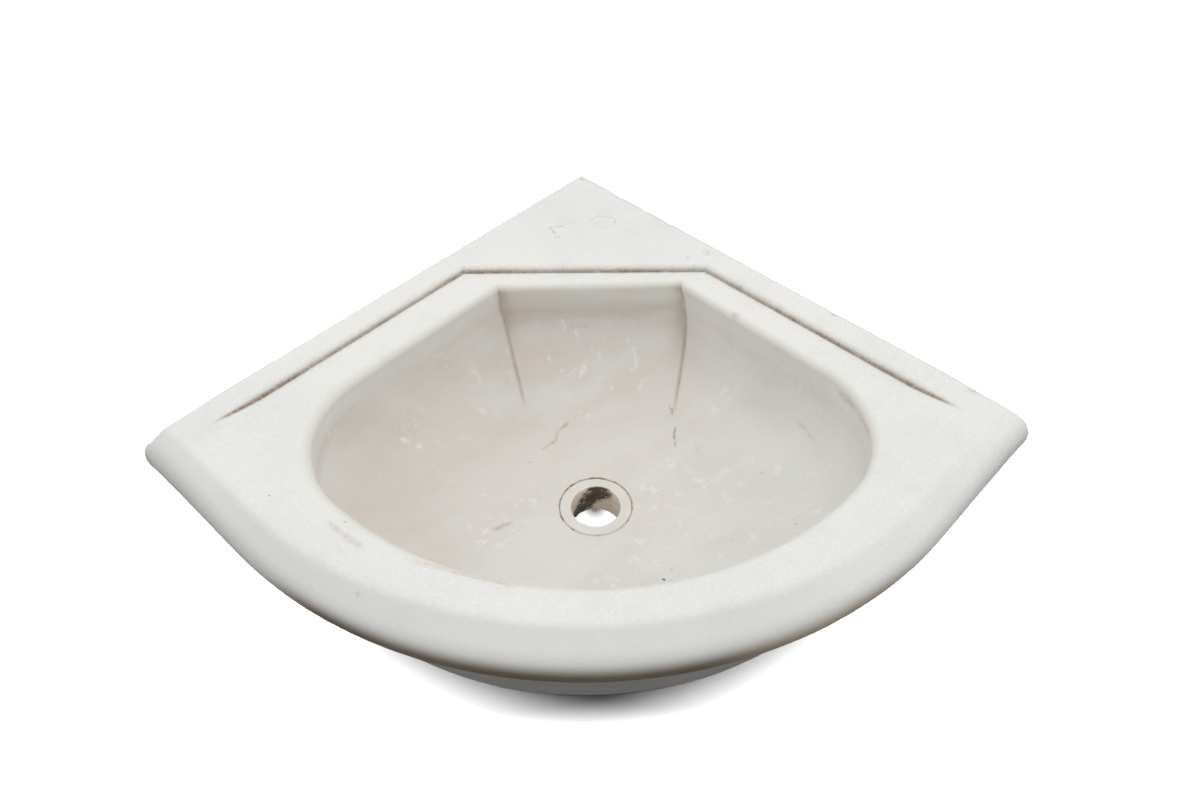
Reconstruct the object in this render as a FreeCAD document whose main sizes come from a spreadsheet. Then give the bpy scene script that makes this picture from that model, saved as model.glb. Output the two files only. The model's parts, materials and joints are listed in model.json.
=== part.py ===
import FreeCAD, Part
import math
import os
import Sketcher

# A corner washbasin carved from one block of marble, with a stone collar let in round its outlet
# and a small stone let into its ledge. Sizes are in millimetres.
# Every piece is drawn in the wall frame: the origin is the room corner, X runs along the left wall,
# Y along the right wall, and Z up from the base. One placement then turns the pieces so that +Y
# points into the room corner, and centres the basin over the origin.

# Driving sizes: name, value, meaning
SIZES = (
    ("wall_side", 491, "straight side along each wall, from the room corner to the tip of the nose"),
    ("horn_run", 132, "straight start of the front beside each wall"),
    ("nose_width", 26, "from the crease on the rim out to the tip of the nose"),
    ("nose_drop", 20, "from the rim down to the tip of the nose"),
    ("nose_roll", 16, "radius of the nose above its tip"),
    ("nose_under", 22, "radius of the nose below its tip"),
    ("shoulder_inset", 27, "from the tip of the nose back to the belly, under the nose"),
    ("base_inset", 46.5, "from the tip of the nose back to the edge of the base"),
    ("base_round", 4, "rounding of the front edge of the base"),
    ("ledge_width", 27, "width of the raised ledge along each wall"),
    ("ledge_back", 146.5, "from the room corner to the step that crosses it, on the diagonal"),
    ("ledge_step", 5, "height of the ledge over the rim"),
    ("ledge_ramp", 6, "length over which each end of the ledge runs down to the rim"),
    ("rim_side", 38.5, "flat rim between the ledge and the bowl, along each wall"),
    ("rim_back", 27, "flat rim between the step across the corner and the bowl"),
    ("rim_front", 45, "flat rim between the bowl and the crease of the nose, beside each wall"),
    ("bowl_off_centre", 4, "how far the bowl and outlet stand to the right of the diagonal"),
    ("bowl_depth", 98, "from the rim down to the outlet"),
    ("bowl_upright", 26, "upright part of the bowl's wall, lip included"),
    ("bowl_sweep", 63, "how far the bowl's side and front curve in to its floor"),
    ("facet_sweep", 74, "how far the flat back of the bowl curves in to its floor"),
    ("bowl_flank", 4, "straight part between the side and front curves of the bowl"),
    ("floor_corner", 24, "corner radius of the bowl's floor"),
    ("floor_fall", 6, "fall of the floor towards the outlet"),
    ("dish_radius", 78, "radius of the part of the floor that falls to the outlet"),
    ("lip_round", 5, "worn edge of the bowl"),
    ("outlet_front", 146, "from the front of the bowl back to the outlet"),
    ("outlet_floor", 30, "thickness of the stone at the outlet"),
    ("outlet_bore", 42, "diameter of the outlet"),
    ("collar_width", 9.75, "width of the stone collar round the outlet"),
    ("collar_height", 14, "depth of the stone collar"),
    ("collar_joint", 1, "thickness of the putty round and under the collar"),
    ("plug_along", 52, "from the room corner to the plug, along the left wall"),
    ("plug_out", 76, "from the left wall out to the plug"),
    ("plug_turn", 170, "turn of the plug on the ledge, in degrees"),
    ("plug_base", 19, "longest edge of the five-sided plug"),
    ("plug_long_side", 17, "longer side of the plug"),
    ("plug_short_side", 10, "shorter side of the plug"),
    ("plug_tip_reach", 20, "from the longest edge to the tip of the plug"),
    ("plug_tip_rise", 7, "from the longer side to the tip of the plug"),
    ("plug_depth", 14, "depth of the plug"),
    ("plug_joint", 1, "thickness of the putty under the plug"),
    ("plug_groove", 0.4, "open joint line round the plug"),
)

# Sizes and levels that follow from the driving sizes
FITS = (
    ("rim_level", "Sizes.bowl_depth + Sizes.outlet_floor"),
    ("ledge_level", "rim_level + Sizes.ledge_step"),
    ("front_depth", "sqrt(2) * Sizes.wall_side - (sqrt(2) - 1) * (Sizes.wall_side - Sizes.horn_run)"),
    ("corner_place", "front_depth / 2"),
    ("nose_level", "rim_level - Sizes.nose_drop"),
    ("slab_level", "nose_level - Sizes.nose_under"),
    ("slab_height", "rim_level - slab_level"),
    ("slab_side", "Sizes.wall_side + Sizes.nose_drop"),
    ("waste_side", "slab_side + Sizes.nose_drop"),
    ("waste_top", "ledge_level + Sizes.nose_drop"),
    ("waste_foot", "slab_level - Sizes.nose_drop"),
    ("crease_side", "Sizes.wall_side - Sizes.nose_width"),
    ("under_side", "Sizes.wall_side - Sizes.nose_under"),
    ("shoulder_side", "Sizes.wall_side - Sizes.shoulder_inset"),
    ("base_side", "Sizes.wall_side - Sizes.base_inset"),
    ("ledge_corner", "sqrt(2) * Sizes.ledge_back"),
    ("ledge_flat", "crease_side - Sizes.ledge_ramp"),
    ("bowl_curve_height", "Sizes.bowl_depth - Sizes.bowl_upright - Sizes.floor_fall"),
    ("floor_level", "Sizes.outlet_floor + Sizes.floor_fall"),
    ("bowl_wall", "Sizes.ledge_width + Sizes.rim_side"),
    ("bowl_back", "Sizes.ledge_back + Sizes.rim_back"),
    ("bowl_reach", "crease_side - Sizes.rim_front"),
    ("bowl_corner", "Sizes.floor_corner + Sizes.bowl_sweep"),
    ("bowl_front_radius", "bowl_reach - bowl_wall - bowl_corner - Sizes.bowl_flank"),
    ("bowl_front", "sqrt(2) * bowl_reach - (sqrt(2) - 1) * bowl_front_radius"),
    ("bowl_shift", "Sizes.bowl_off_centre / sqrt(2)"),
    ("outlet_back", "bowl_front - Sizes.outlet_front"),
    ("outlet_along", "outlet_back / sqrt(2) - bowl_shift"),
    ("outlet_out", "outlet_back / sqrt(2) + bowl_shift"),
    ("bore_radius", "Sizes.outlet_bore / 2"),
    ("collar_radius", "bore_radius + Sizes.collar_width"),
    ("seat_radius", "collar_radius + Sizes.collar_joint"),
    ("collar_foot", "Sizes.outlet_floor - Sizes.collar_height"),
    ("seat_foot", "collar_foot - Sizes.collar_joint"),
    ("seat_depth", "Sizes.outlet_floor - seat_foot"),
    ("plug_seat_depth", "Sizes.plug_depth + Sizes.plug_joint"),
    ("plug_foot", "ledge_level - Sizes.plug_depth"),
    ("plug_seat_foot", "ledge_level - plug_seat_depth"),
)

# The bowl is drawn at these stations, from the lip down: angles round its two curves, in degrees
LIP_STATIONS = {"lip_top": 0, "lip_upper": 30, "lip_lower": 60, "lip_foot": 90}
WALL_STATIONS = {
    "curve_top": 0,
    "curve_upper": 22.5,
    "curve_middle": 45,
    "curve_lower": 67.5,
    "curve_foot": 90,
}

# Turn of the wall frame, in degrees, that brings the room corner's diagonal to +Y
CORNER_TURN = 225
QUARTER_TURN = 90
FULL_TURN = 360
UP = FreeCAD.Vector(0, 0, 1)

# How a sketch numbers its own origin and axes, and the points of an edge
ORIGIN_POINT = (-1, 1)
ACROSS_AXIS, UP_AXIS = -1, -2
START, END, CENTRE = 1, 2, 3
TOUCH = 0.001
MM3_PER_CM3 = 1000


def fill_sheet(name, rows):
    """Writes rows of (alias, content) into a spreadsheet."""
    sheet = document.addObject("Spreadsheet::Sheet", name)
    for row, (alias, content) in enumerate(rows, start=1):
        sheet.set(f"A{row}", alias)
        sheet.set(f"B{row}", content)
        sheet.setAlias(f"B{row}", alias)
    document.recompute()
    return sheet


def station_rows(name, side_inset, facet_inset, drop):
    """Lists the sizes of the bowl at one station."""
    return [
        (f"{name}_level", f"=rim_level - ({drop})"),
        (f"{name}_wall", f"=bowl_wall + {side_inset}"),
        (f"{name}_facet", f"=sqrt(2) * (bowl_back + {facet_inset}) - {name}_wall"),
        (f"{name}_reach", f"=bowl_reach - ({side_inset})"),
        (f"{name}_corner", f"=bowl_corner - ({side_inset})"),
    ]


def fit_rows():
    """Lists every derived size, with those of each station of the bowl."""
    rows = [(alias, "=" + formula) for alias, formula in FITS]
    for name, angle in LIP_STATIONS.items():
        inset = f"Sizes.lip_round * (sin({angle} deg) - 1)"
        rows += station_rows(name, inset, inset, f"Sizes.lip_round * (1 - cos({angle} deg))")
    for name, angle in WALL_STATIONS.items():
        side_inset = f"Sizes.bowl_sweep * (1 - cos({angle} deg))"
        facet_inset = f"Sizes.facet_sweep * (1 - cos({angle} deg))"
        drop = f"Sizes.bowl_upright + bowl_curve_height * sin({angle} deg)"
        rows += station_rows(name, side_inset, facet_inset, drop)
    return rows


def number(reference):
    """Reads a cell, such as Sizes.wall_side, as a plain number."""
    sheet_name, alias = reference.split(".")
    return float(getattr(document.getObject(sheet_name), alias))


def new_body(label):
    """Starts a piece that stands in the room corner, turned to the part's frame."""
    body = document.addObject("PartDesign::Body", label)
    body.Label = label
    into_corner = FreeCAD.Rotation(UP, CORNER_TURN)
    body.Placement = FreeCAD.Placement(FreeCAD.Vector(), into_corner)
    body.setExpression("Placement.Base.y", "Fits.corner_place")
    return body


def new_sketch(body, name, plane="XY_Plane", level=None):
    """Starts a sketch on one of the body's own planes, raised to a level."""
    sketch = body.newObject("Sketcher::SketchObject", name)
    support = next(item for item in body.Origin.OriginFeatures if item.Role == plane)
    sketch.AttachmentSupport = [(support, "")]
    sketch.MapMode = "FlatFace"
    if level:
        sketch.setExpression("AttachmentOffset.Base.z", level)
    return sketch


def dimension(sketch, kind, places, reference):
    """Adds a dimension that follows a cell."""
    index = sketch.addConstraint(Sketcher.Constraint(kind, *places, number(reference)))
    sketch.setExpression(f"Constraints[{index}]", reference)


def place_point(sketch, edge, point, across, up):
    """Fixes a point of the sketch by two cells, measured from the sketch's origin."""
    dimension(sketch, "DistanceX", (*ORIGIN_POINT, edge, point), across)
    dimension(sketch, "DistanceY", (*ORIGIN_POINT, edge, point), up)


def add_lines(sketch, points, closed=True):
    """Draws straight edges from point to point, joined end to start."""
    pairs = list(zip(points, points[1:] + points[:1])) if closed else list(zip(points, points[1:]))
    edges = [sketch.addGeometry(Part.LineSegment(a, b), False) for a, b in pairs]
    for first, second in zip(edges, edges[1:] + edges[:1] if closed else edges[1:]):
        sketch.addConstraint(Sketcher.Constraint("Coincident", first, END, second, START))
    return edges


def polygon(sketch, corners):
    """Draws a closed polygon whose corners are pairs of cells, or None on an axis."""
    points = [
        FreeCAD.Vector(number(across) if across else 0, number(up) if up else 0, 0)
        for across, up in corners
    ]
    edges = add_lines(sketch, points)
    for edge, (across, up) in zip(edges, corners):
        if across:
            dimension(sketch, "DistanceX", (*ORIGIN_POINT, edge, START), across)
        else:
            sketch.addConstraint(Sketcher.Constraint("PointOnObject", edge, START, UP_AXIS))
        if up:
            dimension(sketch, "DistanceY", (*ORIGIN_POINT, edge, START), up)
        else:
            sketch.addConstraint(Sketcher.Constraint("PointOnObject", edge, START, ACROSS_AXIS))


def quarter_arc(sketch, centre, radius, start_angle):
    """Draws a quarter circle, counter-clockwise from start_angle in degrees."""
    circle = Part.Circle(FreeCAD.Vector(*centre, 0), UP, radius)
    end_angle = start_angle + QUARTER_TURN
    arc = Part.ArcOfCircle(circle, math.radians(start_angle), math.radians(end_angle))
    return sketch.addGeometry(arc, False)


def outlet_circle(body, name, radius):
    """Draws a circle round the outlet, at the level of its top."""
    sketch = new_sketch(body, name, level="Sizes.outlet_floor")
    place = FreeCAD.Vector(number("Fits.outlet_along"), number("Fits.outlet_out"), 0)
    edge = sketch.addGeometry(Part.Circle(place, UP, number(radius)), False)
    dimension(sketch, "Radius", (edge,), radius)
    place_point(sketch, edge, CENTRE, "Fits.outlet_along", "Fits.outlet_out")
    return sketch


def front_run(sketch, side):
    """Draws the front from wall to wall: straight run, large curve, straight run."""
    reach, run = number(side), number("Sizes.horn_run")
    vector = FreeCAD.Vector
    right = sketch.addGeometry(Part.LineSegment(vector(reach, 0, 0), vector(reach, run, 0)), False)
    curve = quarter_arc(sketch, (run, run), reach - run, 0)
    left = sketch.addGeometry(Part.LineSegment(vector(run, reach, 0), vector(0, reach, 0)), False)
    sketch.addConstraint(Sketcher.Constraint("Tangent", right, END, curve, START))
    sketch.addConstraint(Sketcher.Constraint("Tangent", curve, END, left, START))
    sketch.addConstraint(Sketcher.Constraint("Vertical", right))
    sketch.addConstraint(Sketcher.Constraint("Horizontal", left))
    sketch.addConstraint(Sketcher.Constraint("PointOnObject", right, START, ACROSS_AXIS))
    sketch.addConstraint(Sketcher.Constraint("PointOnObject", left, END, UP_AXIS))
    dimension(sketch, "DistanceX", (*ORIGIN_POINT, right, START), side)
    dimension(sketch, "DistanceY", (*ORIGIN_POINT, left, END), side)
    dimension(sketch, "DistanceY", (right, START, right, END), "Sizes.horn_run")
    return right, left


def block_outline(body, name, side, level=None):
    """Draws the square plan with its rounded front corner, closed along both walls."""
    sketch = new_sketch(body, name, level=level)
    right, left = front_run(sketch, side)
    reach = number(side)
    corner = FreeCAD.Vector(0, 0, 0)
    left_wall = sketch.addGeometry(Part.LineSegment(FreeCAD.Vector(0, reach, 0), corner), False)
    right_wall = sketch.addGeometry(Part.LineSegment(corner, FreeCAD.Vector(reach, 0, 0)), False)
    sketch.addConstraint(Sketcher.Constraint("Coincident", left, END, left_wall, START))
    sketch.addConstraint(Sketcher.Constraint("Coincident", left_wall, END, right_wall, START))
    sketch.addConstraint(Sketcher.Constraint("Coincident", right_wall, END, right, START))
    sketch.addConstraint(Sketcher.Constraint("Coincident", left_wall, END, *ORIGIN_POINT))
    return sketch


def bowl_outline(body, station):
    """Draws the bowl at one station: back facet, two sides, two side curves and a front curve."""
    sketch = new_sketch(body, f"bowl_{station}", level=f"Fits.{station}_level")
    sketch.setExpression("AttachmentOffset.Base.x", "-Fits.bowl_shift")
    sketch.setExpression("AttachmentOffset.Base.y", "Fits.bowl_shift")
    wall, facet = f"Fits.{station}_wall", f"Fits.{station}_facet"
    reach, corner = f"Fits.{station}_reach", f"Fits.{station}_corner"
    near, start, far, bend = (number(cell) for cell in (wall, facet, reach, corner))
    middle = near + bend + number("Sizes.bowl_flank")
    turned = near + bend
    vector = FreeCAD.Vector

    def line(x1, y1, x2, y2):
        return sketch.addGeometry(Part.LineSegment(vector(x1, y1, 0), vector(x2, y2, 0)), False)

    back = line(near, start, start, near)
    right_side = line(start, near, far - bend, near)
    right_curve = quarter_arc(sketch, (far - bend, turned), bend, 3 * QUARTER_TURN)
    right_flank = line(far, turned, far, middle)
    front_curve = quarter_arc(sketch, (middle, middle), far - middle, 0)
    left_flank = line(middle, far, turned, far)
    left_curve = quarter_arc(sketch, (turned, far - bend), bend, QUARTER_TURN)
    left_side = line(near, far - bend, near, start)
    loop = (right_side, right_curve, right_flank, front_curve, left_flank, left_curve, left_side)
    for first, second in zip(loop, loop[1:]):
        sketch.addConstraint(Sketcher.Constraint("Tangent", first, END, second, START))
    sketch.addConstraint(Sketcher.Constraint("Coincident", back, END, right_side, START))
    sketch.addConstraint(Sketcher.Constraint("Coincident", left_side, END, back, START))
    for level_edge in (right_side, left_flank):
        sketch.addConstraint(Sketcher.Constraint("Horizontal", level_edge))
    for upright_edge in (right_flank, left_side):
        sketch.addConstraint(Sketcher.Constraint("Vertical", upright_edge))
    place_point(sketch, right_side, START, facet, wall)
    place_point(sketch, left_side, END, wall, facet)
    dimension(sketch, "DistanceX", (*ORIGIN_POINT, right_flank, START), reach)
    dimension(sketch, "Radius", (right_curve,), corner)
    dimension(sketch, "Radius", (left_curve,), corner)
    dimension(sketch, "DistanceY", (right_flank, START, right_flank, END), "Sizes.bowl_flank")
    dimension(sketch, "DistanceX", (left_flank, END, left_flank, START), "Sizes.bowl_flank")
    return sketch


def plug_outline(body, name, level):
    """Draws the five-sided outline of the plug, turned on the ledge."""
    sketch = new_sketch(body, name)
    on_ledge = FreeCAD.Rotation(UP, number("Sizes.plug_turn"))
    sketch.AttachmentOffset = FreeCAD.Placement(FreeCAD.Vector(), on_ledge)
    sketch.setExpression("AttachmentOffset.Base.x", "Sizes.plug_along")
    sketch.setExpression("AttachmentOffset.Base.y", "Sizes.plug_out")
    sketch.setExpression("AttachmentOffset.Base.z", level)
    sketch.setExpression("AttachmentOffset.Rotation.Angle", "Sizes.plug_turn")
    polygon(sketch, (
        (None, None),
        ("Sizes.plug_long_side", None),
        ("Sizes.plug_tip_reach", "Sizes.plug_tip_rise"),
        ("Sizes.plug_short_side", "Sizes.plug_base"),
        (None, "Sizes.plug_base"),
    ))
    return sketch


def extrude(body, kind, name, sketch, length):
    """Pads or pockets a sketch by a cell."""
    feature = body.newObject(f"PartDesign::{kind}", name)
    feature.Profile = sketch
    feature.setExpression("Length", length)
    document.recompute()
    return feature


def loft(body, kind, name, sketches, ruled):
    """Runs a loft through closed sketches, from the first to the last."""
    feature = body.newObject(f"PartDesign::{kind}", name)
    feature.Profile = sketches[0]
    feature.Sections = sketches[1:]
    feature.Ruled = ruled
    document.recompute()
    return feature


def turn(body, kind, name, sketch):
    """Turns a sketch full circle about its own upright axis."""
    feature = body.newObject(f"PartDesign::{kind}", name)
    feature.Profile = sketch
    feature.ReferenceAxis = (sketch, ["V_Axis"])
    feature.Angle = FULL_TURN
    document.recompute()
    return feature


def upright_section(body, name, corners):
    """Draws a section that stands on the outlet's axis: pairs of radius and level."""
    sketch = new_sketch(body, name, plane="XZ_Plane")
    sketch.setExpression("AttachmentOffset.Base.x", "Fits.outlet_along")
    sketch.setExpression("AttachmentOffset.Base.z", "-Fits.outlet_out")
    polygon(sketch, corners)
    return sketch


def make_slab(body):
    """The upper part of the block: the rim with its rolled nose."""
    rough = block_outline(body, "slab_outline", "Fits.slab_side", "Fits.slab_level")
    extrude(body, "Pad", "slab", rough, "Fits.slab_height")

    path = new_sketch(body, "nose_path", level="Fits.rim_level")
    front_run(path, "Sizes.wall_side")

    section = new_sketch(body, "nose_section", plane="XZ_Plane")
    cells = (
        ("Fits.crease_side", "Fits.rim_level"),
        ("Fits.crease_side", "Fits.waste_top"),
        ("Fits.waste_side", "Fits.waste_top"),
        ("Fits.waste_side", "Fits.waste_foot"),
        ("Fits.under_side", "Fits.waste_foot"),
        ("Fits.under_side", "Fits.slab_level"),
    )
    points = [FreeCAD.Vector(number(across), number(up), 0) for across, up in cells]
    edges = add_lines(section, points, closed=False)
    for edge, (across, up) in zip(edges, cells):
        place_point(section, edge, START, across, up)
    place_point(section, edges[-1], END, *cells[-1])

    reach, level = number("Sizes.wall_side"), number("Fits.nose_level")
    roll, under = number("Sizes.nose_roll"), number("Sizes.nose_under")
    to_crease = points[0] - FreeCAD.Vector(reach - roll, level, 0)
    leave = math.atan2(to_crease.y, to_crease.x) - math.acos(roll / to_crease.Length)
    lower = quarter_arc(section, (reach - under, level), under, 3 * QUARTER_TURN)
    roll_circle = Part.Circle(FreeCAD.Vector(reach - roll, level, 0), UP, roll)
    upper = section.addGeometry(Part.ArcOfCircle(roll_circle, 0, leave), False)
    fall = section.addGeometry(Part.LineSegment(roll_circle.value(leave), points[0]), False)
    section.addConstraint(Sketcher.Constraint("Coincident", edges[-1], END, lower, START))
    section.addConstraint(Sketcher.Constraint("Tangent", lower, END, upper, START))
    section.addConstraint(Sketcher.Constraint("Tangent", upper, END, fall, START))
    section.addConstraint(Sketcher.Constraint("Coincident", fall, END, edges[0], START))
    place_point(section, lower, END, "Sizes.wall_side", "Fits.nose_level")
    dimension(section, "Radius", (lower,), "Sizes.nose_under")
    dimension(section, "Radius", (upper,), "Sizes.nose_roll")

    nose = body.newObject("PartDesign::SubtractivePipe", "nose")
    nose.Profile = section
    nose.Spine = path
    document.recompute()


def make_belly(body):
    """The lower part of the block, drawn in from the nose to the base."""
    base = block_outline(body, "base_outline", "Fits.base_side")
    shoulder = block_outline(body, "shoulder_outline", "Fits.shoulder_side", "Fits.nose_level")
    belly = loft(body, "AdditiveLoft", "belly", [base, shoulder], True)

    def on_base_front(edge):
        middle = edge.CenterOfMass
        return edge.BoundBox.ZMax < TOUCH and min(middle.x, middle.y) > TOUCH

    front = [f"Edge{i}" for i, edge in enumerate(belly.Shape.Edges, start=1) if on_base_front(edge)]
    worn = body.newObject("PartDesign::Fillet", "base_edge")
    worn.Base = (belly, front)
    worn.setExpression("Radius", "Sizes.base_round")
    document.recompute()


def make_ledge(body):
    """The raised ledge: one run along each wall, and the triangle across the corner."""
    corner = new_sketch(body, "ledge_corner_outline", level="Fits.rim_level")
    polygon(corner, ((None, None), ("Fits.ledge_corner", None), (None, "Fits.ledge_corner")))
    extrude(body, "Pad", "ledge_corner", corner, "Sizes.ledge_step")
    for wall, plane, away in (("left", "XZ_Plane", True), ("right", "YZ_Plane", False)):
        run = new_sketch(body, f"{wall}_ledge_section", plane=plane)
        polygon(run, (
            (None, "Fits.rim_level"),
            ("Fits.crease_side", "Fits.rim_level"),
            ("Fits.ledge_flat", "Fits.ledge_level"),
            (None, "Fits.ledge_level"),
        ))
        ledge = extrude(body, "Pad", f"{wall}_ledge", run, "Sizes.ledge_width")
        ledge.Reversed = away
        document.recompute()


def make_bowl(body):
    """The hollow: worn lip, upright wall with two creases, curved foot, and a floor that falls."""
    lip = [bowl_outline(body, name) for name in LIP_STATIONS]
    wall = [lip[-1]] + [bowl_outline(body, name) for name in WALL_STATIONS]
    loft(body, "SubtractiveLoft", "bowl_lip", lip, False)
    loft(body, "SubtractiveLoft", "bowl_wall", wall, False)
    dish = upright_section(body, "dish_section", (
        (None, "Sizes.outlet_floor"),
        ("Fits.seat_radius", "Sizes.outlet_floor"),
        ("Sizes.dish_radius", "Fits.floor_level"),
        (None, "Fits.floor_level"),
    ))
    turn(body, "Groove", "dish", dish)


def make_seats(body):
    """The sunk seat and bore of the outlet, and the seat of the plug in the ledge."""
    seat = outlet_circle(body, "collar_seat_outline", "Fits.seat_radius")
    extrude(body, "Pocket", "collar_seat", seat, "Fits.seat_depth")
    bore = outlet_circle(body, "bore_outline", "Fits.bore_radius")
    extrude(body, "Pocket", "bore", bore, "Sizes.outlet_floor")
    plug = plug_outline(body, "plug_seat_outline", "Fits.ledge_level")
    extrude(body, "Pocket", "plug_seat", plug, "Fits.plug_seat_depth")


def make_basin():
    """The carved block."""
    body = new_body("basin")
    make_slab(body)
    make_belly(body)
    make_ledge(body)
    make_bowl(body)
    make_seats(body)
    return body


def make_collar():
    """The stone ring let into the floor round the outlet."""
    body = new_body("outlet_collar")
    section = upright_section(body, "collar_section", (
        ("Fits.bore_radius", "Fits.collar_foot"),
        ("Fits.collar_radius", "Fits.collar_foot"),
        ("Fits.collar_radius", "Sizes.outlet_floor"),
        ("Fits.bore_radius", "Sizes.outlet_floor"),
    ))
    turn(body, "Revolution", "collar", section)
    return body


def make_collar_bedding():
    """The putty under the collar and up round it to the floor."""
    body = new_body("collar_bedding")
    section = upright_section(body, "bedding_section", (
        ("Fits.bore_radius", "Fits.seat_foot"),
        ("Fits.seat_radius", "Fits.seat_foot"),
        ("Fits.seat_radius", "Sizes.outlet_floor"),
        ("Fits.collar_radius", "Sizes.outlet_floor"),
        ("Fits.collar_radius", "Fits.collar_foot"),
        ("Fits.bore_radius", "Fits.collar_foot"),
    ))
    turn(body, "Revolution", "bedding", section)
    return body


def make_plug():
    """The five-sided stone let into the ledge, with its top edge eased to leave a joint line."""
    body = new_body("ledge_plug")
    outline = plug_outline(body, "plug_outline", "Fits.plug_foot")
    plug = extrude(body, "Pad", "plug", outline, "Sizes.plug_depth")
    top = plug.Shape.BoundBox.ZMax
    edges = enumerate(plug.Shape.Edges, start=1)
    rim = [f"Edge{i}" for i, edge in edges if edge.BoundBox.ZMin > top - TOUCH]
    groove = body.newObject("PartDesign::Chamfer", "joint_line")
    groove.Base = (plug, rim)
    groove.setExpression("Size", "Sizes.plug_groove")
    document.recompute()
    return body


def make_plug_bedding():
    """The putty bed under the plug."""
    body = new_body("plug_bedding")
    outline = plug_outline(body, "plug_bed_outline", "Fits.plug_seat_foot")
    extrude(body, "Pad", "plug_bed", outline, "Sizes.plug_joint")
    return body


def check(bodies):
    """Stops if a feature failed, a cut removed nothing, or a piece is not one valid solid."""
    for item in document.Objects:
        if "Invalid" in item.State or "Error" in item.State:
            raise RuntimeError(f"{item.Name} failed: {item.State}")
    cuts = ("SubtractivePipe", "SubtractiveLoft", "Pocket", "Groove")
    for item in document.Objects:
        if item.TypeId.endswith(cuts) and not item.Shape.Volume < item.BaseFeature.Shape.Volume:
            raise RuntimeError(f"{item.Name} cuts nothing")
    for body in bodies:
        if body.Shape.isNull() or not body.Shape.isValid() or len(body.Shape.Solids) != 1:
            raise RuntimeError(f"{body.Label} is not one valid solid")


document = FreeCAD.newDocument("corner_washbasin")
fill_sheet("Sizes", [(alias, str(value)) for alias, value, _ in SIZES])
fill_sheet("Fits", fit_rows())
pieces = [make_basin(), make_collar(), make_collar_bedding(), make_plug(), make_plug_bedding()]
document.recompute()
check(pieces)

os.makedirs("parts", exist_ok=True)
for piece in pieces:
    piece.Shape.exportStep(f"parts/{piece.Label}.step")
    box = piece.Shape.optimalBoundingBox()
    print(f"{piece.Label}: {box.XLength:.1f} x {box.YLength:.1f} x {box.ZLength:.1f} mm,"
          f" {piece.Shape.Volume / MM3_PER_CM3:.1f} cm3")
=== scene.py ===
# %% [markdown]
# # A corner washbasin carved from marble
#
# The real object is one block of white marble that was hollowed by hand, with two small stones let in:
# a collar round the outlet and a plug in the ledge. The frame holds these pieces as plain solids at
# their real size. This lesson dresses them: it lays a finer skin over the block, lets Geometry Nodes
# roughen it as a mason's hand does, sweeps the collar round the outlet, and stains the stone.

# %% Load the frame
import json
import math

import bmesh
import bpy
import numpy as np
from mathutils import Matrix, Vector


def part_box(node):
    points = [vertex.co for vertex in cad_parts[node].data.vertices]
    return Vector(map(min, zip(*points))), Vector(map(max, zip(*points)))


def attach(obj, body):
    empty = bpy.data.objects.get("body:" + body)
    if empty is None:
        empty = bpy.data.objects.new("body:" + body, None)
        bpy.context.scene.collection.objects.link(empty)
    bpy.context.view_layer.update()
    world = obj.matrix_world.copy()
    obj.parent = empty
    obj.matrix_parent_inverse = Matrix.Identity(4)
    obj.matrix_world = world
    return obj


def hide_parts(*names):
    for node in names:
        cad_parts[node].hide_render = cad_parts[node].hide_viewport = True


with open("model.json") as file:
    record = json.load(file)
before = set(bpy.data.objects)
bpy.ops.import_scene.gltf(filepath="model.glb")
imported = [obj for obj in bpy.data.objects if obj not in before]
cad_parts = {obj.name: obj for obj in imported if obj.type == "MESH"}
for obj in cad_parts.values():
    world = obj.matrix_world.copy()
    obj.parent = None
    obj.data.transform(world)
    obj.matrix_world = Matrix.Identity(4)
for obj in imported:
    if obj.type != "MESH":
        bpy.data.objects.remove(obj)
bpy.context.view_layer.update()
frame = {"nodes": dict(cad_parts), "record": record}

MM = 0.001
print("solids in the frame:", ", ".join(sorted(frame["nodes"])))

# %% [markdown]
# ## Sizes
#
# A part is easiest to think about where it hangs: in the corner of a room. So the plan is drawn in a wall
# frame in millimetres, with X along the left wall, Y along the right wall and the room corner at its
# origin. What the frame's boxes hold is read from them, and the rest are the carver's own sizes.

# %% Sizes of the block, the bowl and the outlet
ROOT_TWO = math.sqrt(2)


def box_mm(node):
    """The lowest and highest corner of a solid, in millimetres."""
    return [np.array(corner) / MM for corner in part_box(node)]


block_low, block_high = box_mm("basin")
CORNER_Y = block_high[1]
LEDGE_LEVEL = block_high[2]
WALL_SIDE = (block_high[0] - block_low[0]) / ROOT_TWO
FRONT_DEPTH = block_high[1] - block_low[1]
HORN_RUN = WALL_SIDE - (ROOT_TWO * WALL_SIDE - FRONT_DEPTH) / (ROOT_TWO - 1)

LEDGE_WIDTH, LEDGE_BACK, LEDGE_STEP = 27, 146.5, 5
RIM_LEVEL = LEDGE_LEVEL - LEDGE_STEP
NOSE_WIDTH, NOSE_DROP, HORN_DROP = 26, 22, 17
NOSE_ROLL, NOSE_UNDER, NOSE_HEIGHT = 16, 22, 42
NOSE_FOOT = RIM_LEVEL - NOSE_HEIGHT
SHOULDER_INSET, BASE_INSET, BASE_ROUND = 27, 46.5, 4
CREASE_SIDE = WALL_SIDE - NOSE_WIDTH

RIM_SIDE, RIM_BACK, RIM_FRONT = 38.5, 27, 45
BOWL_WALL = LEDGE_WIDTH + RIM_SIDE
BOWL_BACK = LEDGE_BACK + RIM_BACK
BOWL_REACH = CREASE_SIDE - RIM_FRONT
BOWL_UPRIGHT, BOWL_FLANK, FLOOR_CORNER = 26, 4, 24
BOWL_SWEEP, FACET_SWEEP = 63, 74
BOWL_CORNER = FLOOR_CORNER + BOWL_SWEEP
BOWL_OFF_CENTRE = 4

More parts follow.
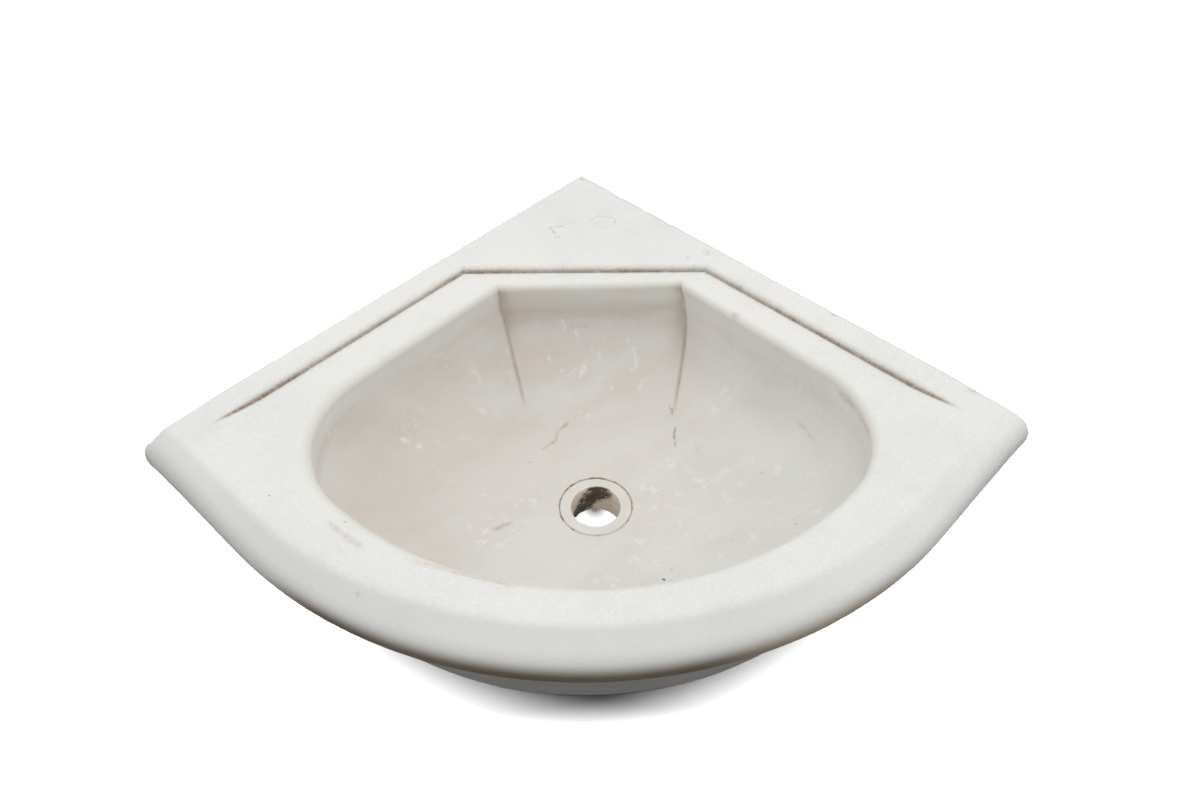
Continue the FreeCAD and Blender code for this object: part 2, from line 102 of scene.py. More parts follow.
outlet = next(mount for mount in frame["record"]["mounts"] if mount["name"] == "waste_outlet")
OUTLET = np.array(outlet["pos_m"][:2]) / MM
BORE_RADIUS = outlet["dims"]["r_mm"]
collar_low, collar_high = box_mm("outlet_collar")
bedding_low, bedding_high = box_mm("collar_bedding")
COLLAR_RADIUS = (collar_high[0] - collar_low[0]) / 2
SEAT_RADIUS = (bedding_high[0] - bedding_low[0]) / 2
OUTLET_LEVEL, COLLAR_FOOT, SEAT_FOOT = collar_high[2], collar_low[2], bedding_low[2]
FLOOR_FALL, DISH_RADIUS = 6, 82
FLOOR_LEVEL = OUTLET_LEVEL + FLOOR_FALL
CURVE_LEVEL = RIM_LEVEL - BOWL_UPRIGHT
print(f"block {WALL_SIDE:.1f} mm along each wall, rim at {RIM_LEVEL:.1f}, floor at {FLOOR_LEVEL:.1f}")

# %% [markdown]
# ## The plan as rings
#
# The skin is a net of rows and columns. Every row is a closed ring round the bowl, made of four sectors:
# the flat back, the right side, the front and the left side. A point keeps its share of its sector from
# ring to ring, so the columns run cleanly from the outlet out to the walls. A subdivided cage could do
# this too, but rings follow the drawn curves exactly and let each edge have the rows that it needs.
#
# Hand work is never quite true. The bowl's flat back stands a few millimetres further back than it was
# drawn, its left end further out, its creases lean, and the ledge's two strips differ in width. The rings
# take these errors up, because a basin that is too even doesn't look carved.

# %% Stretches, sectors and rings
ARC_POINTS = 97
BACK_COLUMNS, SIDE_COLUMNS, FRONT_COLUMNS = 96, 100, 220
CREASE_PULL, SIDE_PULL = 0.6, 0.5


def line(start, end):
    """A straight stretch."""
    return np.array((start, end), float)


def arc(centre, radius, start, end):
    """A round stretch between two angles in degrees."""
    turn = np.radians(np.linspace(start, end, ARC_POINTS))
    return np.array(centre) + radius * np.column_stack((np.cos(turn), np.sin(turn)))


def spread(stretches, shares):
    """Points at the given shares of the length of joined stretches."""
    path = np.vstack(stretches)
    steps = np.linalg.norm(np.diff(path, axis=0), axis=1)
    run = np.concatenate(([0], np.cumsum(steps)))
    return np.column_stack([np.interp(shares * run[-1], run, path[:, axis]) for axis in (0, 1)])


def rising(count):
    """Even shares that rise to 1."""
    return np.arange(1, count + 1) / count


def bell(distance, width):
    """1 in the middle, fading away over a width."""
    return np.exp(-((distance / width) ** 2))


back = np.arange(BACK_COLUMNS) / BACK_COLUMNS
BACK_SHARES = back - CREASE_PULL * np.sin(2 * np.pi * back) / (2 * np.pi)
side = np.arange(SIDE_COLUMNS + 1) / SIDE_COLUMNS
side = side - SIDE_PULL * side * (1 - side)
RIGHT_SHARES, LEFT_SHARES = side[:-1], (1 - side[::-1])[:-1]
FRONT_SHARES = np.arange(FRONT_COLUMNS) / FRONT_COLUMNS
RIGHT_START = BACK_COLUMNS
FRONT_START = RIGHT_START + SIDE_COLUMNS
LEFT_START = FRONT_START + FRONT_COLUMNS
COLUMNS = LEFT_START + SIDE_COLUMNS


def ring(*sectors):
    """A closed ring of columns through the back, right, front and left sectors."""
    shares = (BACK_SHARES, RIGHT_SHARES, FRONT_SHARES, LEFT_SHARES)
    return np.vstack([spread(sector, share) for sector, share in zip(sectors, shares)])


BACK_SHIFT, LEFT_SHIFT, LEFT_MIDDLE, LEFT_SPREAD = 6.5, 5.5, LEFT_START + 25, 70
column = np.arange(COLUMNS)
sector_ends = (0, RIGHT_START, FRONT_START, LEFT_START, COLUMNS)
back_share = np.interp(column, sector_ends, (1, 1, 0, 0, 1))
left_share = bell(column - LEFT_MIDDLE, LEFT_SPREAD)
bowl_shift = back_share[:, None] * np.array((-1, -1)) * BACK_SHIFT / ROOT_TWO
bowl_shift = bowl_shift + left_share[:, None] * np.array((1, -1)) * LEFT_SHIFT / ROOT_TWO


def bowl_ring(inset, facet_inset, lean=0, bow=0):
    """The bowl's outline, drawn in by one size at its sides and front and another at its flat back."""
    wall, reach, bend = BOWL_WALL + inset, BOWL_REACH - inset, BOWL_CORNER - inset
    facet = ROOT_TWO * (BOWL_BACK + facet_inset) - wall
    turned = wall + bend
    middle = turned + BOWL_FLANK
    right, left = (turned, reach - bend), (reach - bend, turned)
    left_crease, right_crease = (facet - lean, wall), (wall, facet + lean + bow)
    plan = ring(
        [line(left_crease, right_crease)],
        [line(right_crease, (wall, reach - bend)), arc(right, bend, 180, 135)],
        [
            arc(right, bend, 135, 90),
            arc((middle, middle), reach - middle, 90, 0),
            arc(left, bend, 0, -45),
        ],
        [arc(left, bend, -45, -90), line((reach - bend, wall), left_crease)],
    )
    return plan + bowl_shift + np.array((-1, 1)) * BOWL_OFF_CENTRE / ROOT_TWO


LEFT_NARROWER, RIGHT_WIDER, LEFT_NEARER, RIGHT_FURTHER = 2.2, 1.4, 1.8, 2.8
LEFT_STRIP, RIGHT_STRIP = LEDGE_WIDTH - LEFT_NARROWER, LEDGE_WIDTH + RIGHT_WIDER
LEFT_BACK, RIGHT_BACK = LEDGE_BACK - LEFT_NEARER, LEDGE_BACK + RIGHT_FURTHER


def step_corners(distance):
    """The left and right corner at the foot of the ledge's step, drawn in towards the bowl."""
    left, right = LEFT_STRIP + distance, RIGHT_STRIP + distance
    left_bend = ROOT_TWO * (LEFT_BACK + distance) - left
    right_bend = ROOT_TWO * (RIGHT_BACK + distance) - right
    return (left_bend, left), (right, right_bend)


def rim_ring(distance):
    """The foot of the ledge's step and the crease of the nose, drawn in towards the bowl."""
    left, right = step_corners(distance)
    side = CREASE_SIDE - distance
    left_end, right_end = (side, left[1]), (right[0], side)
    curve = arc((HORN_RUN, HORN_RUN), side - HORN_RUN, 90, 0)
    return ring(
        [line(left, right)],
        [line(right, right_end)],
        [line(right_end, curve[0]), curve, line(curve[-1], left_end)],
        [line(left_end, left)],
    )


print(f"{COLUMNS} columns to a ring")

# %% [markdown]
# ## Worn levels
#
# No hand-carved edge is sharp. The crease where the rim falls to the nose is a soft bend, and towards
# each horn the rim swells up until the step of the ledge dies out in it. Both are written as levels over
# the plan, so that every row near them agrees.

# %% Levels of the rim and the fall of the nose
CREASE_SOFT = 5
NOSE_LEAD, LEAD_FULL, LEAD_GONE = 5.5, 80, 250
NOSE_MASK_RUN = 8
HORN_LEVEL_RUN, HORN_SWELL_RUN, HORN_SWELL_WIDTH = 12, 75, 110


def smooth(value, low, high):
    """Goes from 0 at low to 1 at high along an S-curve."""
    share = np.clip((value - low) / (high - low), 0, 1)
    return share * share * (3 - 2 * share)


def nose_reach(plan):
    """How far a point lies along the wall, measured square to the front's outline."""
    return HORN_RUN + np.hypot(*np.maximum(plan - HORN_RUN, 0).T)


def horn_swell(plan):
    """How far the rim rises towards the ledge beside each horn."""
    back_from_crease = CREASE_SIDE - plan.max(axis=1)
    away_from_wall = plan.min(axis=1) - LEDGE_WIDTH
    along = 1 - smooth(back_from_crease, HORN_LEVEL_RUN, HORN_SWELL_RUN)
    return LEDGE_STEP * along * (1 - smooth(away_from_wall, 0, HORN_SWELL_WIDTH))


def nose_lead(plan):
    """How much further back the crease lies round the middle of the front."""
    right = (plan[:, 1] - plan[:, 0]) / ROOT_TWO
    return NOSE_LEAD * (1 - smooth(np.abs(right), LEAD_FULL, LEAD_GONE))


def nose_fall(swell, lead=0):
    """The drop from crease to tip, and the angle at which the nose falls away from the crease."""
    drop = NOSE_DROP + (HORN_DROP - NOSE_DROP) * swell / LEDGE_STEP
    across = NOSE_WIDTH + lead - NOSE_ROLL
    return drop, np.arctan2(drop, across) - np.arcsin(NOSE_ROLL / np.hypot(drop, across))


def crease_drop(past_crease, slope):
    """How far the surface lies below the rim, in the soft bend and on the straight fall."""
    bend = np.clip(past_crease + CREASE_SOFT, 0, 2 * CREASE_SOFT)
    straight = np.maximum(past_crease - CREASE_SOFT, 0)
    return slope * (bend * bend / (4 * CREASE_SOFT) + straight)


def rim_level(plan):
    """The level of the worn rim."""
    swell, lead = horn_swell(plan), nose_lead(plan)
    slope = np.tan(nose_fall(swell, lead)[1])
    return RIM_LEVEL + swell - crease_drop(nose_reach(plan) - CREASE_SIDE + lead, slope)


def nose_mask(plan):
    """Where the rim has turned down to the nose."""
    return smooth(nose_reach(plan) - CREASE_SIDE + nose_lead(plan), 0, NOSE_MASK_RUN)


print(f"the nose falls at {math.degrees(nose_fall(0, NOSE_LEAD)[1]):.1f} degrees")

# %% [markdown]
# ## The skin of the block
#
# Rows are added from the outlet outwards. Each row carries masks with it, numbers between 0 and 1 that
# say where dirt gathers, where shade is painted and where the carver's hand shows. They become
# attributes of the mesh, and the marble's shader and the roughening nodes read them.

# %% A net of rows
MASKS = (
    "bowl", "step_line", "step_stain", "crease", "band", "lip",
    "nose", "under", "edge", "chip", "hewn", "carve",
)


class Skin:
    """Rows of points with their masks, joined by strips of quads."""

    def __init__(self):
        self.points, self.faces = [], []
        self.masks = {mask: [] for mask in MASKS}
        self.count = 0
        self.last = None

    def row(self, plan, level, **masks):
        """Adds a row of points of the wall frame and returns their numbers."""
        across, along = np.asarray(plan, float).T
        size = len(across)
        height = np.broadcast_to(level, size)
        right, deep = (along - across) / ROOT_TWO, CORNER_Y - (across + along) / ROOT_TWO
        self.points.append(np.column_stack((right, deep, height)))
        for mask in MASKS:
            self.masks[mask].append(np.broadcast_to(masks.get(mask, 0.0), size))
        numbers = np.arange(self.count, self.count + size)
        self.count += size
        return numbers

    def strip(self, first, second, closed=False):
        """Joins two rows of equal length with quads."""
        ends = (np.roll(first, -1), np.roll(second, -1))
        quads = np.column_stack((first, ends[0], ends[1], second))
        self.faces.extend((quads if closed else quads[:-1]).tolist())

    def add_ring(self, plan, level, **masks):
        """Adds a closed row and joins it to the ring before it."""
        before, self.last = self.last, self.row(plan, level, **masks)
        if before is not None:
            self.strip(before, self.last, closed=True)


skin = Skin()
print("masks carried by the skin:", ", ".join(MASKS))

# %% [markdown]
# ### The outlet and the floor
#
# The floor is dished: it falls a few millimetres to the outlet, with no edge that one could point to.
# Its columns fan out from the seat of the collar to the foot of the bowl's wall.

# %% Bore, collar seat and dished floor
FLOOR_ROWS, FLOOR_CROWD, SEAT_CALM = 24, 1.3, 12
CREASE_LEAN = 9


def wall_frame(place):
    """A point of the part frame, in plan, seen in the wall frame."""
    deep = CORNER_Y - place[1]
    return np.array((deep - place[0], deep + place[0])) / ROOT_TWO


outlet_plan = wall_frame(OUTLET)
floor_edge = bowl_ring(BOWL_SWEEP, FACET_SWEEP, CREASE_LEAN)
rays = floor_edge - outlet_plan
rays = rays / np.linalg.norm(rays, axis=1)[:, None]
seat_circle, bore_circle = outlet_plan + SEAT_RADIUS * rays, outlet_plan + BORE_RADIUS * rays

skin.add_ring(bore_circle, 0)
for circle, level in ((bore_circle, SEAT_FOOT), (seat_circle, SEAT_FOOT), (seat_circle, OUTLET_LEVEL)):
    skin.add_ring(circle, level, bowl=1)
for share in rising(FLOOR_ROWS) ** FLOOR_CROWD:
    plan = seat_circle + (floor_edge - seat_circle) * share
    away = np.linalg.norm(plan - outlet_plan, axis=1)
    level = OUTLET_LEVEL + FLOOR_FALL * smooth(away, SEAT_RADIUS, DISH_RADIUS)
    skin.add_ring(plan, level, bowl=1, carve=smooth(away, SEAT_RADIUS, SEAT_RADIUS + SEAT_CALM))
print(f"outlet of {2 * BORE_RADIUS:.0f} mm in a floor {floor_edge.max() - floor_edge.min():.0f} mm long")

# %% [markdown]
# ### The wall of the bowl and its lip
#
# The wall sweeps up from the floor in a quarter of an ellipse, steeper at the flat back. Where the back
# meets the sides, two creases run down and die out in the floor. They lean to the right towards their
# feet, and the right one bows as well. Years of use wore the lip unevenly, so its drop and its width
# change on the way round: tight at the back, very soft at the left end.

# %% Bowl wall, creases and lip
WALL_ROWS, UPRIGHT_ROWS, LIP_ROWS = 30, 4, 9
CREASE_BOW, LEAN_POWER, CREASE_WIDTH = 6, 0.7, 1.4
SHADE_WIDTH, SHADE_SHARE, SHADE_LOW, SHADE_HIGH = 8.0, 0.75, 45, 100
FADE_LOW, FADE_HIGH = 0.05, 0.25
BAND_LOW, BAND_HIGH, BAND_SOFT, SIDE_BAND = 84, 116, 15, 0.2
LIP_FILM = 0.3
LIP_STOPS = (
    0, RIGHT_START, FRONT_START - 50, FRONT_START,
    FRONT_START + 110, LEFT_START, LEFT_START + 45,
)
LIP_DROPS = (6, 6, 6.5, 7, 8, 8.5, 6.5)
LIP_WIDTHS = (6.5, 6.5, 7.5, 8, 8.5, 11, 8.5)
LIP_MOST = max(LIP_WIDTHS)


def round_bowl(sizes):
    """A size that changes on the way round the bowl, for every column."""
    return np.interp(column, LIP_STOPS + (COLUMNS,), sizes + sizes[:1])


lip_drop, lip_width = round_bowl(LIP_DROPS), round_bowl(LIP_WIDTHS)
is_back = column < BACK_COLUMNS


def wall_masks(plan, level, faded):
    """Dirt in the creases, painted shade beside them on the flat back's side, and the brown band across the
    back.
    """
    corners = (plan[0], plan[BACK_COLUMNS])
    away = np.min([np.linalg.norm(plan - corner, axis=1) for corner in corners], axis=0)
    level = np.broadcast_to(level, COLUMNS)
    # Painted shade: the flat back is darkened beside each crease, more towards the top of the bowl.
    shade = SHADE_SHARE * bell(away, SHADE_WIDTH) * is_back * smooth(level, SHADE_LOW, SHADE_HIGH)
    # The crease mask holds the dirt along each crease line and the painted shade beside it.
    darkening = np.maximum(bell(away, CREASE_WIDTH), shade)
    rise = smooth(level, BAND_LOW - BAND_SOFT, BAND_LOW + BAND_SOFT)
    band = rise * (1 - smooth(level, BAND_HIGH - BAND_SOFT, BAND_HIGH + BAND_SOFT))
    band = band * np.where(is_back, 1.0, SIDE_BAND)
    return {"crease": darkening * (1 - faded), "band": band}


def crease_bow(level):
    """How far the right crease bows to the right at a level of the bowl."""
    depth = (RIM_LEVEL - level) / (RIM_LEVEL - FLOOR_LEVEL)
    return CREASE_BOW * math.sin(math.pi * depth ** LEAN_POWER)


for share in rising(WALL_ROWS):
    turn = math.pi / 2 * (1 - share)
    level = CURVE_LEVEL - (CURVE_LEVEL - FLOOR_LEVEL) * math.sin(turn)
    sweep_share, lean = 1 - math.cos(turn), CREASE_LEAN * math.sin(turn) ** LEAN_POWER
    plan = bowl_ring(BOWL_SWEEP * sweep_share, FACET_SWEEP * sweep_share, lean, crease_bow(level))
    faded = 1 - smooth(share, FADE_LOW, FADE_HIGH)
    skin.add_ring(plan, level, bowl=1, carve=1, **wall_masks(plan, level, faded))

mouth, worn_mouth = bowl_ring(0, 0), bowl_ring(-LIP_MOST, -LIP_MOST)
for share in rising(UPRIGHT_ROWS):
    level = CURVE_LEVEL + (RIM_LEVEL - lip_drop - CURVE_LEVEL) * share
    plan = bowl_ring(0, 0, 0, crease_bow(CURVE_LEVEL + (RIM_LEVEL - CURVE_LEVEL) * share))
    skin.add_ring(plan, level, bowl=1, carve=1, **wall_masks(plan, level, 0))
for share in rising(LIP_ROWS):
    turn = math.pi / 2 * (1 - share)
    outset = lip_width * (1 - math.sin(turn))
    plan = mouth + (worn_mouth - mouth) * (outset / LIP_MOST)[:, None]
    level = rim_level(plan) - lip_drop * (1 - math.cos(turn))
    film, worn_most = 1 - smooth(share, LIP_FILM, 1), math.sin(math.pi * share)
    skin.add_ring(plan, level, bowl=film, lip=worn_most, carve=1, **wall_masks(plan, level, share))
print(f"lip worn back by {lip_width.min():.1f} to {lip_width.max():.1f} mm")

# %% [markdown]
# ### The rim, the step and the ledge
#
# The rim runs flat to the foot of the ledge. The carver cut the step with a fine line at its foot, and
# that line has held dirt ever since. Above it the ledge's edge is rounded over.

# %% Rim
RIM_ROWS, RIM_EDGE = 13, 5.0
RIM_EDGE_STEPS = (2.5, 1.2, 0.6)
LINE_WIDTH, STAIN_WIDTH, LINE_DEPTH, LINE_FADE = 1.2, 3.5, 0.6, 0.5
has_step = np.ones(COLUMNS)
has_step[FRONT_START:LEFT_START + 1] = 0


def step_masks(distance, plan):
    """The dirt line at the foot of the step, and the stain beside it, which fade at the horns."""
    fade = 1 - smooth(horn_swell(plan), LINE_FADE * LEDGE_STEP, LEDGE_STEP)
    widths = {"step_line": LINE_WIDTH, "step_stain": STAIN_WIDTH}
    return {mask: bell(distance, width) * fade for mask, width in widths.items()}


lip_edge = mouth + (worn_mouth - mouth) * (lip_width / LIP_MOST)[:, None]
rim_edge = rim_ring(RIM_EDGE)
for share in rising(RIM_ROWS):
    plan = lip_edge + (rim_edge - lip_edge) * share
    skin.add_ring(plan, rim_level(plan), carve=1, nose=nose_mask(plan))
for distance in RIM_EDGE_STEPS + (0.0,):
    plan = rim_ring(distance)
    masks = {mask: value * has_step for mask, value in step_masks(distance, plan).items()}
    sunk = LINE_DEPTH * has_step * (distance == 0) * (1 - horn_swell(plan) / LEDGE_STEP)
    skin.add_ring(plan, rim_level(plan) - sunk, carve=1, nose=nose_mask(plan), **masks)
rim_foot = skin.last
print(f"rim of {RIM_SIDE:.1f} mm at the sides and {RIM_BACK:.1f} mm at the back")

# %% Step, ledge and its back edge
RISER_STEPS, RISER_ROUND = (0.35, 0.8, 1.4, 2.1, 3.0, 4.2, 5.4, 6.8), 3
LEDGE_ROWS, EDGE_ROWS = 14, 5
EDGE_WORN, EDGE_HORN_WORN, HORN_WORN_RUN, LEFT_CHIPPED = 2.0, 4.5, 60, 0.3
NICK_CROWD, CHIP_CROWD, NICK_FADE, CHIP_FADE, CHIP_CORE = 8, 4, 0.7, 0.6, 0.3
PLUG_CALM, HEWN_FROM = 26, 0.5
CHIPS = (
    ((35, 237), 5), ((60, 212), 6), ((80, 192), 5),
    ((-338, -66), 9), ((168, 104), 5), ((214, 58), 4),
)
BEND_ALONG = ROOT_TWO * LEDGE_BACK - LEDGE_WIDTH


def chain(left, back, right):
    """An open run of columns over the ledge: left side, corner, right side."""
    ends = np.append(RIGHT_SHARES, 1.0)
    return np.vstack((spread(left, LEFT_SHARES), spread(back, BACK_SHARES), spread(right, ends)))


def ledge_chain(offset):
    """The foot of the step, moved up the ledge."""
    left, right = step_corners(-offset)
    return chain(
        [line((CREASE_SIDE, left[1]), left)],
        [line(left, right)],
        [line(right, (right[0], CREASE_SIDE))],
    )


def wall_chain(inset):
    """The two walls' sides, drawn in from the walls."""
    return chain(
        [line((CREASE_SIDE, inset), (BEND_ALONG, inset))],
        [line((BEND_ALONG, inset), (inset, inset)), line((inset, inset), (inset, BEND_ALONG))],
        [line((inset, BEND_ALONG), (inset, CREASE_SIDE))],
    )


def chip_mask(plan):
    """Where pieces broke off the back edge."""
    mask = np.zeros(len(plan))
    for place, radius in CHIPS:
        away = np.linalg.norm(plan - wall_frame(place), axis=1)
        mask = np.maximum(mask, 1 - smooth(away, CHIP_CORE * radius, radius))
    return mask


def ledge_drop(plan):
    """The soft bend at the end of the ledge, over each horn."""
    return crease_drop(nose_reach(plan) - CREASE_SIDE, np.tan(nose_fall(LEDGE_STEP)[1]))


plug_low, plug_high = box_mm("ledge_plug")
plug_plan = wall_frame((plug_low + plug_high)[:2] / 2)
order = np.concatenate((np.arange(LEFT_START, COLUMNS), np.arange(FRONT_START + 1)))
ledge_rows, ledge_plans, ledge_drops = [rim_foot[order]], [], []
foot = ledge_chain(0)
swell = horn_swell(foot)


def add_ledge_row(plan, level, drop, **masks):
    """Adds a row over the ledge, and keeps what the horns need of it."""
    ledge_rows.append(skin.row(plan, level - ledge_drop(plan), **masks))
    skin.strip(ledge_rows[-2], ledge_rows[-1])
    ledge_plans.append(plan)
    ledge_drops.append(np.broadcast_to(drop, len(plan)))


for offset in RISER_STEPS:
    plan = ledge_chain(offset)
    climb = (LEDGE_STEP - swell) * (1 - (1 - offset / RISER_STEPS[-1]) ** RISER_ROUND)
    add_ledge_row(plan, RIM_LEVEL + swell + climb, 0, carve=1, **step_masks(offset, foot))
near_horn = smooth(foot.max(axis=1), CREASE_SIDE - HORN_WORN_RUN, CREASE_SIDE)
worn = EDGE_WORN + (EDGE_HORN_WORN - EDGE_WORN) * near_horn
wall_line, drawn_in = wall_chain(0), wall_chain(1)
back_edge = wall_line + (drawn_in - wall_line) * worn[:, None]
step_top = ledge_chain(RISER_STEPS[-1])
chipped = np.where(np.arange(len(foot)) < SIDE_COLUMNS + BACK_COLUMNS // 2, LEFT_CHIPPED, 1.0)
for share in rising(LEDGE_ROWS):
    plan = step_top + (back_edge - step_top) * share
    calm = smooth(np.linalg.norm(plan - plug_plan, axis=1), PLUG_CALM / 2, 2 * PLUG_CALM)
    masks = {"edge": share ** NICK_CROWD * chipped, "chip": share ** CHIP_CROWD * chip_mask(plan)}
    add_ledge_row(plan, LEDGE_LEVEL, 0, carve=calm, **masks)
for share in rising(EDGE_ROWS):
    turn = math.pi / 2 * share
    plan = wall_line + (drawn_in - wall_line) * (worn * (1 - math.sin(turn)))[:, None]
    drop = worn * (1 - math.cos(turn))
    masks = {"edge": (1 - NICK_FADE * share) * chipped, "chip": chip_mask(plan) * (1 - CHIP_FADE * share)}
    add_ledge_row(plan, LEDGE_LEVEL - drop, drop, hewn=smooth(share, HEWN_FROM, 1), **masks)
print(f"ledge of {len(ledge_rows)} rows, {LEDGE_STEP} mm over the rim")

# %% [markdown]
# ### The nose, the belly and the base
#
# One section is carried along the front: a straight fall from the crease, a roll over the tip, a larger
# roll back under it, then the belly down to the base. At each end the section also runs over the end of
# the ledge, where it is drawn in square to itself, so that the worn edge goes on round the horn.

# %% Nose and belly
FALL_ROWS, ROLL_ROWS, UNDER_ROWS, BELLY_ROWS, BEND_ROWS = 3, 12, 12, 9, 5
BEND_STEPS = (1.6, 3.2, CREASE_SOFT)
SHOULDER_BEND, BASE_EDGE, BASE_CALM = 6, 2, 10
BELLY_TUCK, TUCK_FROM, TUCK_FULL, TUCK_SOFT = 4, 60, 200, 14
SHOULDER_LEVEL = RIM_LEVEL - NOSE_DROP
BELLY_SLOPE = (BASE_INSET - SHOULDER_INSET) / SHOULDER_LEVEL


def belly_inset(level):
    """How far the belly lies behind the tip of the nose."""
    return BASE_INSET - BELLY_SLOPE * level


def round_corner(before, corner, after):
    """A soft bend from one point to another, pulled towards a corner."""
    return [
        (1 - share) ** 2 * before + 2 * share * (1 - share) * corner + share * share * after
        for share in rising(BEND_ROWS)
    ]


def nose_section(swell, lead):
    """The section of the nose for every column, as pairs: distance past the tip, and level."""
    drop, fall = nose_fall(swell, lead)
    top, slope = RIM_LEVEL + swell, np.tan(fall)
    tip, same = top - drop, np.ones_like(swell)
    section = []
    for past in BEND_STEPS:
        section.append(((past - NOSE_WIDTH) * same, top - crease_drop(past + lead, slope)))
    start = np.array(section[-1])
    contact = np.array((NOSE_ROLL * np.sin(fall) - NOSE_ROLL, tip + NOSE_ROLL * np.cos(fall)))
    for share in rising(FALL_ROWS):
        section.append(tuple(start + (contact - start) * share))
    for share in rising(ROLL_ROWS):
        turn = (np.pi / 2 - fall) * (1 - share)
        section.append((NOSE_ROLL * (np.cos(turn) - 1), tip + NOSE_ROLL * np.sin(turn)))
    for share in rising(UNDER_ROWS):
        turn = np.pi / 2 * share
        section.append((NOSE_UNDER * (np.cos(turn) - 1) * same, tip - (tip - NOSE_FOOT) * np.sin(turn)))
    corner = -belly_inset(NOSE_FOOT)
    before = np.array((corner + SHOULDER_BEND, NOSE_FOOT))
    after = np.array((-belly_inset(NOSE_FOOT - SHOULDER_BEND), NOSE_FOOT - SHOULDER_BEND))
    shoulder = [before] + round_corner(before, np.array((corner, NOSE_FOOT)), after)
    for share in rising(BELLY_ROWS):
        level = after[1] + (BASE_ROUND - after[1]) * share
        shoulder.append(np.array((-belly_inset(level), level)))
    foot, flat = np.array((-BASE_INSET, 0)), np.array((-BASE_INSET - BASE_ROUND, 0))
    shoulder += round_corner(shoulder[-1], foot, flat)
    section += [(across * same, level * same) for across, level in shoulder]
    return np.array(section).transpose(1, 0, 2)


front = np.arange(FRONT_START, LEFT_START + 1)
right_end = np.array([plan[-1] for plan in ledge_plans])[::-1]
left_end = np.array([plan[0] for plan in ledge_plans])
crease = np.vstack((right_end, rim_ring(0)[front], left_end))
end_drop = np.array([drop[-1] for drop in ledge_drops])
drawn = np.concatenate((end_drop[::-1], np.zeros(len(front)), end_drop))
away = np.maximum(crease - HORN_RUN, 0)
outward = away / np.linalg.norm(away, axis=1)[:, None]
tips = crease + NOSE_WIDTH * outward

past, levels = nose_section(horn_swell(crease), nose_lead(crease))
right = np.abs(crease[:, 1] - crease[:, 0]) / ROOT_TWO
below_nose = 1 - smooth(levels, NOSE_FOOT - TUCK_SOFT, NOSE_FOOT)
past = past - BELLY_TUCK * smooth(right, TUCK_FROM, TUCK_FULL) * below_nose
slant_past, slant_level = np.gradient(past, axis=0), np.gradient(levels, axis=0)
slant = np.hypot(slant_past, slant_level)
held = drawn * smooth(levels, 0, BASE_CALM)
past, levels = past + held * slant_level / slant, levels - held * slant_past / slant
print(f"section of {len(levels)} points, {levels.max() - levels.min():.0f} mm high")

# %% Rows of the front
UNDER_TOP, UNDER_FOOT = RIM_LEVEL - 20, NOSE_FOOT - 14
UNDER_SOFT, UNDER_EDGE, CHIP_DEPTH = 10, 2, 6
NEARLY_ALL = 0.999

ends = [row[-1] for row in ledge_rows[1:]][::-1]
starts = [row[0] for row in ledge_rows[1:]]
nose_rows = [np.concatenate((ends, rim_foot[front], starts)).astype(int)]
on_wall = (drawn >= EDGE_HORN_WORN * NEARLY_ALL) * 1.0
for distance, level in zip(past, levels):
    plan = tips + outward * distance[:, None]
    under = smooth(-level, -UNDER_TOP - UNDER_SOFT, -UNDER_TOP + UNDER_EDGE)
    masks = {
        "under": under * smooth(level, UNDER_FOOT - UNDER_SOFT, UNDER_FOOT + UNDER_SOFT),
        "nose": np.maximum(nose_mask(plan), level < UNDER_TOP),
        "chip": chip_mask(plan) * (level > RIM_LEVEL - CHIP_DEPTH),
        "carve": smooth(level, BASE_EDGE, BASE_CALM) * (drawn == 0),
    }
    nose_rows.append(skin.row(plan, level, hewn=on_wall, **masks))
    skin.strip(nose_rows[-2], nose_rows[-1])
print(f"front of {len(nose_rows[0])} columns and {len(nose_rows)} rows")

# %% [markdown]
# ### Closing the skin
#
# The two sides that stand against the walls are flat, so one face closes each. The base is flat as well,
# but the bore goes through it, so it is filled with triangles once the skin has become a mesh.

# %% Sides, base and mesh
apex = SIDE_COLUMNS + BACK_COLUMNS // 2
corner_foot = skin.row([(0, 0)], 0, hewn=1)[0]
wall_top = ledge_rows[-1]
right_side = np.concatenate((wall_top[apex:], [row[0] for row in nose_rows[1:]], [corner_foot]))
left_side = np.concatenate((wall_top[apex::-1], [row[-1] for row in nose_rows[1:]], [corner_foot]))
skin.faces += [right_side.tolist(), left_side.tolist()]


def put(name, data):
    """Puts a mesh, a lamp or a camera into the scene, at the origin."""
    thing = bpy.data.objects.new(name, data)
    bpy.context.scene.collection.objects.link(thing)
    return thing


def skin_mesh(name):
    """Makes a mesh of the skin, closes its base and turns its faces outwards."""
    mesh = bpy.data.meshes.new(name)
    mesh.from_pydata((np.vstack(skin.points) * MM).tolist(), [], skin.faces)
    for mask in MASKS:
        layer = mesh.attributes.new(mask, "FLOAT", "POINT")
        layer.data.foreach_set("value", np.concatenate(skin.masks[mask]).astype(np.float32))
    work = bmesh.new()
    work.from_mesh(mesh)
    edges = [edge for edge in work.edges if edge.is_boundary]
    base_row = nose_rows[-1]
    work.verts.ensure_lookup_table()
    for end in (base_row[0], base_row[-1]):
        ends = (work.verts[end], work.verts[corner_foot])
        if not work.edges.get(ends):
            edges.append(work.edges.new(ends))
    bmesh.ops.triangle_fill(work, use_beauty=True, edges=edges)
    bmesh.ops.recalc_face_normals(work, faces=work.faces)
    open_edges = sum(not edge.is_manifold for edge in work.edges)
    work.to_mesh(mesh)
    work.free()
    mesh.shade_smooth()
    print(f"{name}: {len(mesh.vertices)} points, {len(mesh.polygons)} faces, {open_edges} open edges")
    return mesh


rough_basin = put("rough_basin", skin_mesh("rough_basin"))

